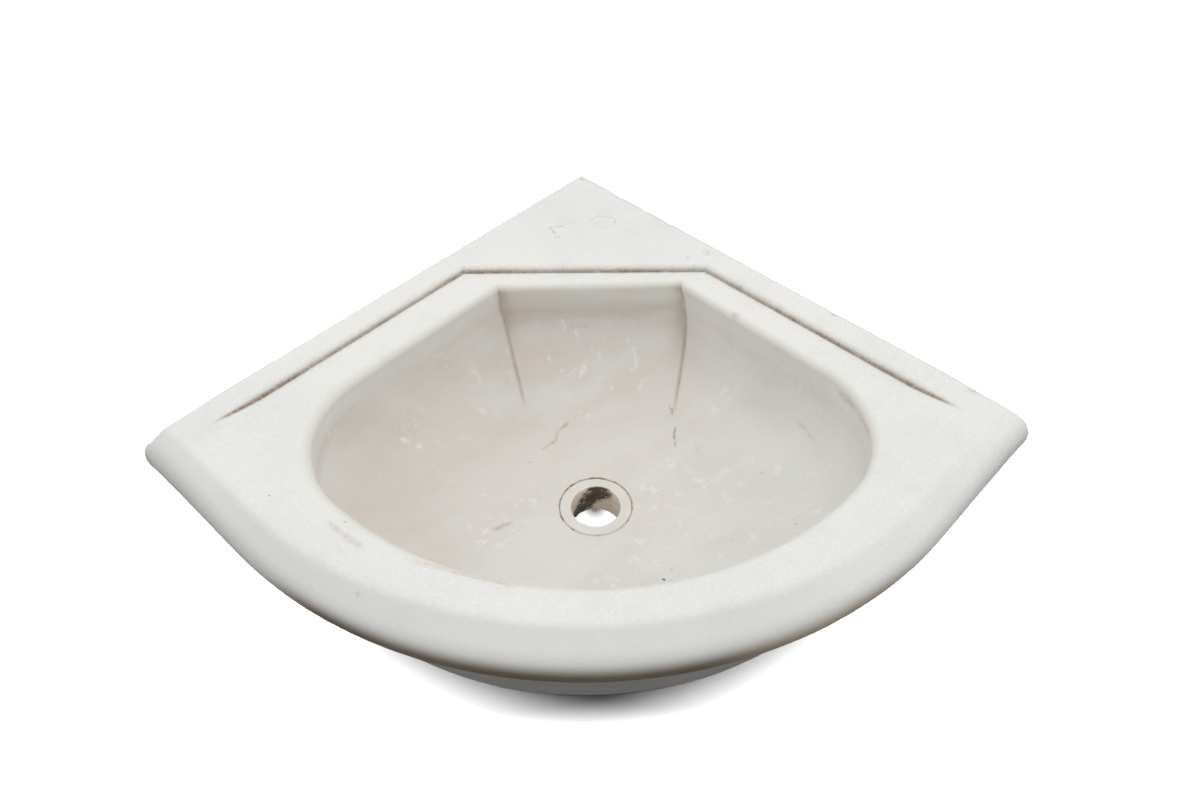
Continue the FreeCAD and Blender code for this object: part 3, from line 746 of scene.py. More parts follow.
# %% [markdown]
# ## Nodes written as Python
#
# Node trees are drawn by hand in the editor. In a script they read better as sums. A wire stands for a
# socket, and adding or multiplying wires adds the Math nodes. One method makes every other node. The
# same two classes serve the materials below and the Geometry Nodes after them.

# %% Wires, nodes and growing
MEASURES = ("DISTANCE", "DOT_PRODUCT", "LENGTH")


class Wire:
    """A socket in a node tree. Sums of wires and numbers add Math nodes to the tree."""

    def __init__(self, nodes, socket):
        self.nodes, self.socket = nodes, socket

    def math(self, operation, first, second):
        return self.nodes.add("ShaderNodeMath", {"operation": operation}, (first, second))

    def __add__(self, other):
        return self.math("ADD", self, other)

    def __radd__(self, other):
        return self.math("ADD", other, self)

    def __sub__(self, other):
        return self.math("SUBTRACT", self, other)

    def __rsub__(self, other):
        return self.math("SUBTRACT", other, self)

    def __mul__(self, other):
        return self.math("MULTIPLY", self, other)

    def __rmul__(self, other):
        return self.math("MULTIPLY", other, self)

    def __or__(self, other):
        return self.math("MAXIMUM", self, other)


class Nodes:
    """A node tree that nodes are added to."""

    def __init__(self, tree):
        self.tree = tree

    def add(self, kind, settings=None, sockets=(), output=0):
        """Adds a node with its settings, then the values or wires of its sockets; returns an output."""
        node = self.tree.nodes.new(kind)
        for name, value in (settings or {}).items():
            setattr(node, name, value)
        for key, value in sockets.items() if isinstance(sockets, dict) else enumerate(sockets):
            if isinstance(value, Wire):
                self.tree.links.new(value.socket, node.inputs[key])
            else:
                node.inputs[key].default_value = value
        return Wire(self, node.outputs[output]) if node.outputs else node

    def noise(self, place, scale, detail=3.0, roughness=0.5, seed=None):
        """Cloudy numbers about a half, over a place. A seed picks other clouds."""
        sockets = {"Vector": place, "Scale": scale, "Detail": detail, "Roughness": roughness}
        if seed is None:
            return self.add("ShaderNodeTexNoise", None, sockets)
        return self.add("ShaderNodeTexNoise", {"noise_dimensions": "4D"}, {"W": seed, **sockets})

    def ramp(self, value, low, high):
        """Goes from 0 at low to 1 at high along an S-curve."""
        settings = {"interpolation_type": "SMOOTHSTEP"}
        return self.add("ShaderNodeMapRange", settings, (value, low, high, 0.0, 1.0))

    def axis(self, place, name):
        """One coordinate of a place."""
        return self.add("ShaderNodeSeparateXYZ", None, (place,), name)

    def vector(self, operation, *inputs):
        """A sum of vectors, or a measure of them."""
        output = "Value" if operation in MEASURES else "Vector"
        return self.add("ShaderNodeVectorMath", {"operation": operation}, inputs, output)

    def scaled(self, vector, share):
        """A vector, made longer or shorter."""
        return self.add("ShaderNodeVectorMath", {"operation": "SCALE"}, {0: vector, "Scale": share})


SOCKETS = {
    float: "NodeSocketFloat",
    int: "NodeSocketInt",
    tuple: "NodeSocketVector",
    bpy.types.Material: "NodeSocketMaterial",
}


def grow(name, start, build, **values):
    """Runs a Geometry Nodes tree with named inputs on a mesh, and leaves a plain mesh object."""
    tree = bpy.data.node_groups.new(name, "GeometryNodeTree")
    tree.interface.new_socket("Geometry", in_out="INPUT", socket_type="NodeSocketGeometry")
    tree.interface.new_socket("Geometry", in_out="OUTPUT", socket_type="NodeSocketGeometry")
    named = {
        key: tree.interface.new_socket(key, in_out="INPUT", socket_type=SOCKETS[type(value)])
        for key, value in values.items()
    }
    nodes = Nodes(tree)
    group = tree.nodes.new("NodeGroupInput")
    given = {socket.name: Wire(nodes, socket) for socket in group.outputs if socket.name}
    made = nodes.add("GeometryNodeRealizeInstances", None, (build(nodes, given),))
    made = nodes.add("GeometryNodeSetMaterial", None, {"Geometry": made, "Material": given["stone"]})
    nodes.add("NodeGroupOutput", None, (made,))

    thing = put(name, start)
    modifier = thing.modifiers.new(name, "NODES")
    modifier.node_group = tree
    for key, socket in named.items():
        modifier[socket.identifier] = values[key]
    settle(thing)
    print(f"{name}: grown to {len(thing.data.polygons)} faces")
    return thing


def settle(thing):
    """Turns what an object's modifiers make into its own plain mesh."""
    shown = bpy.context.evaluated_depsgraph_get()
    shaped = thing.evaluated_get(shown)
    mesh = bpy.data.meshes.new_from_object(shaped, preserve_all_data_layers=True, depsgraph=shown)
    thing.modifiers.clear()
    thing.data = mesh


print("wires and nodes are ready")

# %% [markdown]
# ## Stone, stains and putty
#
# White marble is not white paint. It is cloudy, its crystals sparkle like sugar, and light goes a few
# millimetres into it, which softens every edge. A coloured picture could show that, but nodes hold at
# any distance and fit every side. The finish is built in layers, from the bare stone outwards: clouds,
# grain, the beige that water left in the bowl, flakes and scratches, dirt in the cut lines, painted shade
# on the nose, the belly and beside the creases, and last the stains that lie at known places.

# %% A finish and its layers
SUBSURFACE_SHARE, SUBSURFACE_DEPTH = 0.25, 0.003
SUBSURFACE_TINT = (1.0, 0.9, 0.7)
GRAIN_DEPTH = 0.00015
FRAY_SCALE, FRAY_REACH = 130.0, 0.006
MARK_CORE, TAPER_LOW, TAPER_HIGH = 0.3, -0.06, 0.14


def tint(red, green, blue):
    """A colour, as a socket holds it."""
    return (red, green, blue, 1.0)


class Finish(Nodes):
    """A material, with the layers of colour and relief that it is built from."""

    def __init__(self, name):
        self.material = bpy.data.materials.new(name)
        self.material.use_nodes = True
        super().__init__(self.material.node_tree)
        self.shader = self.tree.nodes["Principled BSDF"]
        self.place = self.add("ShaderNodeTexCoord", output="Object")
        sockets = {"Vector": self.place, "Scale": FRAY_SCALE, "Detail": 4.0}
        wander = self.add("ShaderNodeTexNoise", None, sockets, output="Color")
        centred = self.vector("SUBTRACT", wander, (0.5, 0.5, 0.5))
        self.frayed = self.vector("MULTIPLY_ADD", centred, (FRAY_REACH,) * 3, self.place)

    def clouds(self, scale, detail=4.0, roughness=0.55, stretch=None, turn=0.0):
        """Cloudy numbers over the object, turned about the upright and then stretched where asked."""
        place = self.place
        if stretch:
            sockets = {"Vector": place, "Rotation": (0.0, 0.0, turn), "Scale": stretch}
            place = self.add("ShaderNodeMapping", {"vector_type": "TEXTURE"}, sockets)
        return self.noise(place, scale, detail, roughness)

    def mask(self, name):
        """A mask that the mesh carries."""
        return self.add("ShaderNodeAttribute", {"attribute_name": name}, output="Fac")

    def mix(self, share, first, second):
        """Goes from the first colour to the second."""
        return self.add("ShaderNodeMix", {"data_type": "RGBA"}, {0: share, 6: first, 7: second}, output=2)

    def band(self, level, foot, low, high, top):
        """1 between two levels, fading to 0 at a foot below and a top above, in millimetres."""
        return self.ramp(level, foot * MM, low * MM) * (1 - self.ramp(level, high * MM, top * MM))

    def near(self, away, reach):
        """1 close by, fading to 0 at a reach in millimetres."""
        return 1 - self.ramp(away, MARK_CORE * reach * MM, reach * MM)

    def spot(self, centre, radius):
        """A frayed round mark."""
        away = self.vector("DISTANCE", self.frayed, tuple(MM * value for value in centre))
        return self.near(away, radius)

    def streak(self, start, end, width):
        """A frayed mark along a line, strongest in its middle."""
        start, end = np.array(start) * MM, np.array(end) * MM
        reach = self.vector("SUBTRACT", self.frayed, tuple(start))
        along = tuple((end - start) / np.dot(end - start, end - start))
        share = self.vector("DOT_PRODUCT", reach, along)
        share = self.add("ShaderNodeClamp", None, (share, 0.0, 1.0))
        away = self.vector("DISTANCE", reach, self.scaled(tuple(end - start), share))
        taper = self.ramp(share * (1 - share), TAPER_LOW, TAPER_HIGH)
        return taper * self.near(away, width)

    def finish(self, colour, roughness, height, depth):
        """Feeds the shader with a colour, a roughness and a relief."""
        bump = self.add("ShaderNodeBump", None, {"Strength": 1.0, "Distance": depth, "Height": height})
        for socket, wire in (("Base Color", colour), ("Roughness", roughness), ("Normal", bump)):
            self.tree.links.new(wire.socket, self.shader.inputs[socket])
        return self.material


def let_light_in(finish):
    """Marble lets light a few millimetres in."""
    finish.shader.inputs["Subsurface Weight"].default_value = SUBSURFACE_SHARE
    finish.shader.inputs["Subsurface Radius"].default_value = SUBSURFACE_TINT
    finish.shader.inputs["Subsurface Scale"].default_value = SUBSURFACE_DEPTH


print("finishes can be laid")

# %% Bare marble
WHITE, COOL, GREY = tint(0.753, 0.746, 0.718), tint(0.709, 0.719, 0.70), tint(0.57, 0.575, 0.56)
SUGAR = tint(0.88, 0.88, 0.87)


def bare_marble(finish):
    """Clouds and sugary grain: a colour, and the grain for roughness and relief."""
    colour = finish.mix(finish.ramp(finish.clouds(7.0), 0.35, 0.7), WHITE, COOL)
    colour = finish.mix(0.3 * finish.ramp(finish.clouds(24.0), 0.5, 0.8), colour, GREY)
    grain = finish.clouds(430.0, detail=3.0, roughness=0.7)
    colour = finish.mix(0.4 * finish.ramp(grain, 0.52, 0.72), colour, SUGAR)
    colour = finish.mix(0.3 * finish.ramp(1 - grain, 0.52, 0.72), colour, GREY)
    return colour, grain


print("bare marble is ready")

# %% [markdown]
# ### What use left behind, and painted shade
#
# Each layer is a mask and a colour. The masks from the mesh say where a layer may lie, and clouds break
# it up, because dirt is never even. Some layers hold painted shade as well: beside the creases, on the
# falling nose and on the belly. On the floor the film was wiped away in slanting strokes, so its
# clouds are turned first and then stretched.

# %% Wash in the bowl, flakes and scratches
FILM, PINK, COOL_FILM = tint(0.65, 0.615, 0.57), tint(0.64, 0.57, 0.51), tint(0.68, 0.69, 0.67)
BAND_BROWN, FLAKE = tint(0.50, 0.415, 0.335), tint(0.82, 0.815, 0.79)
WALL_FILM, WALL_FILM_BAND = tint(0.54, 0.505, 0.45), (42, 66, 82, 98)
FILM_LOW, FILM_HIGH, FILM_LEAN, STROKE_TURN = 42, 100, 160, 0.5
# In metres: where the right end starts to be cleaner, and where the walls start behind the middle.
CLEAN_END, WALLS_BEHIND = (0.1, 0.2), (-0.05, 0.0)
# In square metres: how far the walls' film keeps off the flat back.
BESIDE_BACK = (0.004, 0.0075)
FLAKED = (
    ((-45, 99, 80), 16), ((0, 97, 72), 20), ((42, 96, 66), 18), ((-94, 38, 60), 14),
    ((-132, 1, 66), 16), ((-112, 18, 84), 12), ((112, 20, 72), 14), ((140, 0, 84), 12),
)
SCRATCH_TURNS = (0.6, -0.5)
TIDE_SOFT = 5
TIDES = (
    (94, 101, 0.4, PINK),
    (107, 115, 0.6, tint(0.73, 0.74, 0.72)),
    (120, 128, 0.7, tint(0.68, 0.67, 0.60)),
)


def bowl_wash(finish, colour):
    """The film that water left in the bowl: beige below, pink strokes, cool clouds and a brown band."""
    across, along, level = (finish.axis(finish.place, name) for name in "XYZ")
    bowl = finish.mask("bowl") * (1 - 0.5 * finish.ramp(across, *CLEAN_END))
    deep = 1 - finish.ramp(level, FILM_LOW * MM, FILM_HIGH * MM)
    lean = finish.ramp(along - 0.8 * across, -FILM_LEAN * MM, FILM_LEAN * MM)
    film = finish.ramp(finish.clouds(11.0, detail=6.0, roughness=0.6), 0.35, 0.7)
    colour = finish.mix(bowl * (0.05 + 0.3 * deep + 0.2 * film + 0.5 * lean * deep), colour, FILM)
    wall = finish.band(level, *WALL_FILM_BAND)
    beside = finish.ramp(across * across, *BESIDE_BACK) * finish.ramp(along, *WALLS_BEHIND)
    colour = finish.mix(bowl * wall * beside * (0.2 + 0.3 * film), colour, WALL_FILM)
    colour = finish.mix(0.3 * bowl * lean * deep, colour, WALL_FILM)
    strokes = finish.clouds(26.0, detail=6.0, roughness=0.62, stretch=(2.6, 0.8, 1.0), turn=STROKE_TURN)
    stroked = bowl * (0.12 + 0.2 * deep + 0.35 * lean) * finish.ramp(strokes, 0.43, 0.68)
    colour = finish.mix(stroked, colour, PINK)
    cool = finish.clouds(20.0, detail=5.0, stretch=(1.8, 0.9, 1.0), turn=STROKE_TURN)
    colour = finish.mix(0.5 * bowl * finish.ramp(cool, 0.5, 0.7), colour, COOL_FILM)
    for low, high, share, tone in TIDES:
        at_level = finish.band(level, low - TIDE_SOFT, low, high, high + TIDE_SOFT)
        colour = finish.mix(share * bowl * at_level * (0.4 + 0.6 * film), colour, tone)
    tide = finish.ramp(finish.clouds(20.0, stretch=(2.0, 1.0, 0.35)), 0.3, 0.65)
    return finish.mix(0.55 * finish.mask("band") * (0.45 + 0.55 * tide), colour, BAND_BROWN)


def flakes(finish, colour):
    """White scrapes where the film was rubbed away, and thin scratches: a colour and their mask."""
    bowl = 0.1 + 0.9 * finish.mask("bowl")
    where = finish.ramp(finish.clouds(17.0), 0.47, 0.62)
    for mark in FLAKED:
        where = where | finish.spot(*mark)
    scrapes = finish.clouds(75.0, detail=5.0, roughness=0.6, stretch=(0.8, 0.8, 1.8))
    scraped = finish.ramp(scrapes, 0.56, 0.66)
    for turn in SCRATCH_TURNS:
        fine = finish.clouds(90.0, detail=1.0, stretch=(7.0, 0.5, 2.0), turn=turn)
        scraped = scraped | (0.5 * finish.ramp(fine, 0.66, 0.74))
    scraped = where * scraped
    return finish.mix(0.5 * bowl * scraped, colour, FLAKE), bowl * scraped


print("wash and flakes are ready")

# %% Dirt in the cut lines, and painted shade on the nose, the belly and by the creases
# The belly's grey is painted shade under the overhanging nose.
BELLY_TOP, BELLY_SOFT, BELLY_SHADE = 86, 10, tint(0.255, 0.235, 0.22)
# Greyer weathered stone and painted shade on the nose, where it falls away from the rim.
WEATHERED_AND_SHADED = tint(0.555, 0.56, 0.545)
LINE_DIRT, STAIN_PINK = tint(0.25, 0.165, 0.10), tint(0.60, 0.50, 0.43)
# The crease colour serves the dirt in the creases and the painted shade beside them.
CREASE_DIRT_AND_SHADE, UNDER_DIRT = tint(0.33, 0.265, 0.20), tint(0.15, 0.115, 0.075)
RED_DIRT, TAN_DIRT = tint(0.17, 0.112, 0.078), tint(0.36, 0.265, 0.17)
LIP_TINT, HEWN_GREY = tint(0.73, 0.725, 0.65), tint(0.52, 0.50, 0.46)
# In metres from the middle of the front: where its weathering and painted shade, and its dirt, change.
LIGHTER_FRONT, RED_TO_BROWN, BROWN_TO_TAN = (0.08, 0.24), (-0.12, -0.05), (0.06, 0.13)
DIRT_LEFT_END, DIRT_RIGHT_END, DIRT_THINS = (0.19, 0.25), (0.19, 0.26), (0.08, 0.17)


def line_dirt_and_shade(finish, colour):
    """Dirt at the step's foot, in the creases, along the lip and under the nose; painted shade by the
    creases, on nose and belly.
    """
    patchy = finish.clouds(85.0, detail=5.0, roughness=0.65)
    broad = finish.clouds(16.0, detail=3.0)
    stain = finish.mask("step_stain") * finish.ramp(patchy, 0.4, 0.7)
    colour = finish.mix(0.35 * stain, colour, STAIN_PINK)
    line_mask = finish.mask("step_line") * (0.65 + 0.35 * finish.ramp(broad + 0.4 * patchy, 0.55, 0.9))
    ragged = finish.ramp(finish.clouds(420.0, detail=3.0, roughness=0.7), 0.3, 0.6)
    colour = finish.mix(0.95 * line_mask * (0.55 + 0.45 * ragged), colour, LINE_DIRT)
    # Dirt along the creases, and painted shade beside them on the flat back's side.
    crease = finish.mask("crease") * (0.5 + 0.5 * finish.ramp(patchy, 0.3, 0.7))
    colour = finish.mix(0.65 * crease, colour, CREASE_DIRT_AND_SHADE)
    colour = finish.mix(0.5 * finish.mask("lip") * finish.ramp(broad, 0.3, 0.6), colour, LIP_TINT)
    across, level = (finish.axis(finish.place, name) for name in "XZ")
    # Painted shade and greyer weathering on the nose, with less of both towards the right end.
    weathering_and_shade = finish.mask("nose") * (1 - 0.8 * finish.ramp(across, *LIGHTER_FRONT))
    colour = finish.mix(0.55 * weathering_and_shade, colour, WEATHERED_AND_SHADED)
    # Painted shade on the belly below the nose, a little uneven.
    below = finish.mask("nose") * (1 - finish.ramp(level, BELLY_TOP * MM, (BELLY_TOP + BELLY_SOFT) * MM))
    colour = finish.mix((0.6 + 0.3 * broad) * below, colour, BELLY_SHADE)
    darkening = finish.mix(finish.ramp(across, *RED_TO_BROWN), RED_DIRT, UNDER_DIRT)
    darkening = finish.mix(finish.ramp(across, *BROWN_TO_TAN), darkening, TAN_DIRT)
    left_fade = 1 - finish.ramp(0 - across, *DIRT_LEFT_END)
    right_fade = 1 - finish.ramp(across, *DIRT_RIGHT_END)
    thin = left_fade * right_fade * (1 - 0.25 * finish.ramp(across, *DIRT_THINS))
    uneven = finish.ramp(patchy * 0.4 + broad * 0.7, 0.42, 0.7)
    under = finish.mask("under") * thin * (0.94 + 0.06 * uneven)
    return finish.mix(0.97 * under, colour, darkening)


def hewn_sides(finish, colour):
    """The sides against the walls were only sawn, and took up lime and soot."""
    soot = finish.ramp(finish.clouds(12.0, detail=6.0), 0.3, 0.75)
    return finish.mix(finish.mask("hewn") * (0.35 + 0.5 * soot), colour, HEWN_GREY)


print("dirt is ready")

# %% Dirt in the bore
BORE_BROWN, BORE_BLACK = tint(0.90, 0.77, 0.65), tint(0.06, 0.042, 0.025)
BORE_DIRT_FROM, BORE_DIRT_TO = 0.2, 1.2
BORE_SMEAR = ((14, -47, 33), (-18, -54, -8), 14)


def bore_dirt(finish, colour):
    """What waste water left on the wall of the outlet, with one black smear down its back."""
    spread_out = finish.vector("SUBTRACT", finish.place, (*(OUTLET * MM).tolist(), 0.0))
    flat = finish.vector("MULTIPLY", spread_out, (1.0, 1.0, 0.0))
    away = finish.vector("LENGTH", flat)
    wall = 1 - finish.ramp(away, (BORE_RADIUS + BORE_DIRT_FROM) * MM, (BORE_RADIUS + BORE_DIRT_TO) * MM)
    grime = finish.ramp(finish.clouds(260.0, detail=5.0, roughness=0.75), 0.35, 0.65)
    colour = finish.mix(wall * (0.5 + 0.4 * grime), colour, BORE_BROWN)
    smear = finish.ramp(finish.streak(*BORE_SMEAR) * (0.5 + 1.1 * grime), 0.1, 0.8)
    return finish.mix(0.95 * wall * smear, colour, BORE_BLACK)


print("bore dirt is ready")

# %% [markdown]
# ### Stains at known places
#
# A few marks make this basin itself: rust where iron stood on the ledge, green from copper, dark specks
# and scratches on the floor, brown smears on the rim and the walls. They are listed in millimetres of the
# part frame, and each group has one colour and one strength. A mark is a distance from a point or a
# line, frayed and broken up by noise.

# %% Stains
RUST, COPPER, SPECK = tint(0.45, 0.33, 0.22), tint(0.20, 0.50, 0.40), tint(0.055, 0.04, 0.03)
OCHRE, RED_BROWN, SCRATCH = tint(0.76, 0.62, 0.36), tint(0.55, 0.385, 0.32), tint(0.30, 0.21, 0.14)
SPOTS = (
    (RUST, 0.7, (((0, 265, 133), 4), ((-25, 171, 133), 2), ((-61, 52, 41), 3))),
    (RED_BROWN, 0.45, (
        ((129, 63, 128), 7), ((112, 145, 133), 6), ((307, -40, 133), 8), ((-150, -150, 40), 6),
    )),
    (COPPER, 0.75, (
        ((93, 138, 133), 3.5), ((100, 126, 128), 5), ((110, 121, 128), 3), ((138, 97, 129), 2.5),
        ((-135, 100, 129), 2.5), ((-163, -214, 125), 3.5), ((148, -39, 37), 2.2), ((115, -110, 36), 1.8),
        ((87, -2, 36), 1.4), ((95, -10, 36), 1.4),
    )),
    (SPECK, 0.9, (
        ((-22, 60, 44), 1.5), ((168, -98, 40), 1.7), ((55, -147, 36), 2.4), ((63, -137, 36), 1.5),
        ((-52, -20, 35), 1.2), ((-238, -126, 128), 1.2), ((-180, -152, 128), 1.3),
    )),
)
HAIR_CRACKS = (((75, 45, 38), (77.5, 23, 36.6), 2.2), ((77.5, 25, 36.6), (76, -6, 36), 1.6))
STREAKS = (
    (OCHRE, 0.3, (((102, -74, 36), (125, -99, 36), 5),)),
    (RUST, 0.75, (((-31, 188, 133), (-22, 170, 133), 2.3), ((-32, 187, 133), (-18, 190, 133), 2.1))),
    (RED_BROWN, 0.5, (
        ((-132, -187, 128), (-53, -212, 128), 3.5), ((-192, -153, 128), (-164, -176, 128), 4),
        ((205, -14, 116), (222, -76, 118), 4.5), ((180, -8, 67), (192, -29, 61), 3),
        ((173, -15, 62), (184, -34, 57), 3), ((-66, 100, 80), (8, 100, 84), 3),
        ((-95, 40, 50), (-70, 55, 46), 5),
    )),
    (SCRATCH, 0.5, (
        ((-82, -93, 36), (-65, -85, 35), 2.4), ((-42, -5, 36), (-28, 5, 36), 2.4),
        ((-29, 3, 36), (-29, 15, 36), 2.0), ((-30, 13, 36), (-18, 27, 36), 2.6),
    )),
    (TAN_DIRT, 0.5, (((-342, -92, 112), (-296, -140, 110), 9),)),
)


def stains(finish, colour):
    """Lays every known mark."""
    crumbs = finish.clouds(220.0, detail=5.0, roughness=0.7)
    crumbled = 0.35 + 0.65 * finish.ramp(crumbs, 0.4, 0.62)
    for crack in HAIR_CRACKS:
        colour = finish.mix(0.6 * finish.streak(*crack), colour, SCRATCH)
    for layer, draw in ((STREAKS, finish.streak), (SPOTS, finish.spot)):
        for stain, strength, marks in layer:
            mask = draw(*marks[0])
            for mark in marks[1:]:
                mask = mask | draw(*mark)
            colour = finish.mix(strength * mask * crumbled, colour, stain)
    return colour


print(f"{sum(len(marks) for _, _, marks in SPOTS + STREAKS)} marks at known places")

# %% The three stones
def basin_marble():
    """The block: bare marble with all that use left on it, and painted shade on the nose, the belly and by
    the creases.
    """
    finish = Finish("worn_marble")
    colour, grain = bare_marble(finish)
    colour = bowl_wash(finish, colour)
    colour, scraped = flakes(finish, colour)
    colour = line_dirt_and_shade(finish, colour)
    colour = hewn_sides(finish, colour)
    colour = bore_dirt(finish, stains(finish, colour))
    let_light_in(finish)
    roughness = 0.42 + 0.16 * grain + 0.1 * finish.mask("bowl") + 0.2 * finish.mask("hewn")
    pits = finish.ramp(finish.clouds(330.0, detail=3.0), 0.62, 0.8)
    sawn = finish.mask("hewn") * finish.clouds(30.0, detail=3.0, stretch=(1.0, 1.0, 0.05))
    height = grain - 1.2 * pits - 1.2 * scraped + 2.5 * sawn
    return finish.finish(colour, roughness, height, GRAIN_DEPTH)


def inset_marble(name, film):
    """A small let-in stone: cleaner marble with a little of the film."""
    finish = Finish(name)
    colour, grain = bare_marble(finish)
    wash = finish.ramp(finish.clouds(60.0, detail=5.0), 0.35, 0.75)
    colour = finish.mix(film * (0.5 + 0.5 * wash), colour, FILM)
    let_light_in(finish)
    return finish.finish(bore_dirt(finish, colour), 0.4 + 0.18 * grain, grain, GRAIN_DEPTH)


def putty(name, pale, dark):
    """Matt putty with crumbs and stains."""
    finish = Finish(name)
    patches = finish.ramp(finish.clouds(95.0, detail=5.0, roughness=0.7), 0.46, 0.66)
    crumbs = finish.clouds(1600.0, detail=2.0)
    colour = finish.mix(patches, pale, dark)
    colour = finish.mix(0.25 * crumbs, colour, dark)
    return finish.finish(bore_dirt(finish, colour), 0.75 + 0.2 * crumbs, crumbs, 2 * GRAIN_DEPTH)


worn_marble = basin_marble()
collar_marble = inset_marble("pale_collar_marble", 0.9)
plug_marble = inset_marble("let_in_marble", 0.2)
stained_putty = putty("brown_joint_putty", tint(0.70, 0.57, 0.43), tint(0.22, 0.15, 0.09))
lime_putty = putty("pale_lime_putty", tint(0.60, 0.52, 0.41), tint(0.40, 0.33, 0.25))
print("finishes:", ", ".join(sorted(material.name for material in bpy.data.materials)))

# %% [markdown]
# ## Carving by nodes
#
# A modelled skin is too even for hand work. A Geometry Nodes tree sinks it by slow waves, by the marks
# of the rubbing stone, by nicks and chips along the back edge, and in the two creases. It only ever cuts
# inwards, so the block stays within its measured size, and the seats, the base and the flat sides are
# left alone. Before that, a Boolean cuts the seat of the plug, which is read from the plug's solid.

# %% Plug outline and its seat
SEAT_RISE, EASE_STEPS, HAIR = 4, 3, 0.01


def plug_outline():
    """The plug's corners in plan, in order round it, read from its solid."""
    points = np.array([vertex.co for vertex in frame["nodes"]["ledge_plug"].data.vertices]) / MM
    foot = np.unique(points[points[:, 2] < plug_low[2] + HAIR][:, :2].round(3), axis=0)
    around = foot - foot.mean(axis=0)
    return foot[np.argsort(np.arctan2(around[:, 1], around[:, 0]))]


def prism(name, outline, foot, top, eased=0.0):
    """An upright prism, with its top edges eased."""
    work = bmesh.new()
    base = work.faces.new([work.verts.new((x * MM, y * MM, foot * MM)) for x, y in outline])
    grown = bmesh.ops.extrude_face_region(work, geom=[base])["geom"]
    lifted = [item for item in grown if isinstance(item, bmesh.types.BMVert)]
    bmesh.ops.translate(work, verts=lifted, vec=(0, 0, (top - foot) * MM))
    if eased:
        edges = [edge for edge in work.edges if all(vert in lifted for vert in edge.verts)]
        shape = {"segments": EASE_STEPS, "profile": 0.5, "affect": "EDGES"}
        bmesh.ops.bevel(work, geom=edges, offset=eased * MM, **shape)
    bmesh.ops.recalc_face_normals(work, faces=work.faces)
    mesh = bpy.data.meshes.new(name)
    work.to_mesh(mesh)
    work.free()
    return mesh


outline = plug_outline()
seat_foot = box_mm("plug_bedding")[0][2]
cutter = put("seat_cutter", prism("seat_cutter", outline, seat_foot, LEDGE_LEVEL + SEAT_RISE))
cut = rough_basin.modifiers.new("plug_seat", "BOOLEAN")
cut.object, cut.operation, cut.solver = cutter, "DIFFERENCE", "EXACT"
settle(rough_basin)
bpy.data.objects.remove(cutter)
print(f"plug seat with {len(outline)} sides, {LEDGE_LEVEL - seat_foot:.0f} mm deep")

# %% Carve the block
SHARP_TURN = math.radians(50)
NICK_LOW, NICK_HIGH, CHIP_LEAST = 0.56, 0.74, 0.4


def carving(nodes, given):
    """Sinks the surface by waves and rubbing marks, chips its back edge and deepens the creases."""
    place = nodes.add("GeometryNodeInputPosition")
    facing = nodes.add("GeometryNodeInputNormal")

    def mask(name):
        return nodes.add("GeometryNodeInputNamedAttribute", {"data_type": "FLOAT"}, {"Name": name})

    waves = nodes.noise(place, given["wave_scale"], detail=2.0, seed=given["seed"])
    rubbing = nodes.noise(place, given["rubbing_scale"], detail=3.0, seed=given["seed"])
    nicks = nodes.noise(place, given["nick_scale"], detail=4.0, seed=given["seed"])
    nicks = nodes.ramp(nicks, NICK_LOW, NICK_HIGH)
    depth = mask("carve") * (given["wave_depth"] * waves + given["rubbing_depth"] * rubbing)
    depth = depth + mask("edge") * given["nick_depth"] * nicks
    depth = depth + mask("chip") * given["chip_depth"] * (CHIP_LEAST + nicks)
    depth = depth + mask("crease") * given["crease_depth"]
    move = nodes.scaled(facing, 0 - depth)
    return nodes.add("GeometryNodeSetPosition", None, {"Geometry": given["Geometry"], "Offset": move})


basin = grow(
    "carved_basin", rough_basin.data, carving,
    wave_scale=18.0, wave_depth=0.9 * MM, rubbing_scale=75.0, rubbing_depth=0.25 * MM,
    nick_scale=120.0, nick_depth=1.6 * MM, chip_depth=3.2 * MM, crease_depth=0.9 * MM,
    seed=7, stone=worn_marble,
)
bpy.data.objects.remove(rough_basin)
basin.data.set_sharp_from_angle(angle=SHARP_TURN)

# %% [markdown]
# ## The collar and the plug
#
# The collar is a ring of cleaner stone, so its section is swept round a circle by nodes. Its outer wall
# wavers a little, as the joint does that was filled by hand. The plug is a small five-sided prism with
# eased edges, which leave the hairline that shows on the ledge.

# %% Collar and plug
PLUG_EASE, PLUG_ROOM, COLLAR_EDGE_STEPS = 0.45, 0.08, 5


def sweep(nodes, given):
    """A rounded section carried round the outlet, with a wavering outer wall."""
    outer, bore = given["outer"], given["bore"]
    height = given["top"] - given["foot"]
    path = nodes.add("GeometryNodeCurvePrimitiveCircle", None, {
        "Resolution": given["steps"], "Radius": 0.5 * (outer + bore),
    })
    section = nodes.add("GeometryNodeCurvePrimitiveQuadrilateral", None, {
        "Width": outer - bore, "Height": height,
    })
    section = nodes.add("GeometryNodeFilletCurve", {"mode": "POLY"}, {
        "Curve": section, "Count": COLLAR_EDGE_STEPS, "Radius": given["worn_edge"],
    })
    made = nodes.add("GeometryNodeCurveToMesh", None, {"Curve": path, "Profile Curve": section})

    place = nodes.add("GeometryNodeInputPosition")
    flat = nodes.vector("MULTIPLY", place, (1.0, 1.0, 0.0))
    outside = nodes.ramp(nodes.vector("LENGTH", flat), 0.5 * (outer + bore), outer)
    waver = given["waver"] * outside * nodes.noise(place, given["waver_scale"], seed=given["seed"])
    move = nodes.scaled(nodes.vector("NORMALIZE", flat), 0 - waver)
    made = nodes.add("GeometryNodeSetPosition", None, {"Geometry": made, "Offset": move})
    return nodes.add("GeometryNodeTransform", None, {"Geometry": made, "Translation": given["centre"]})


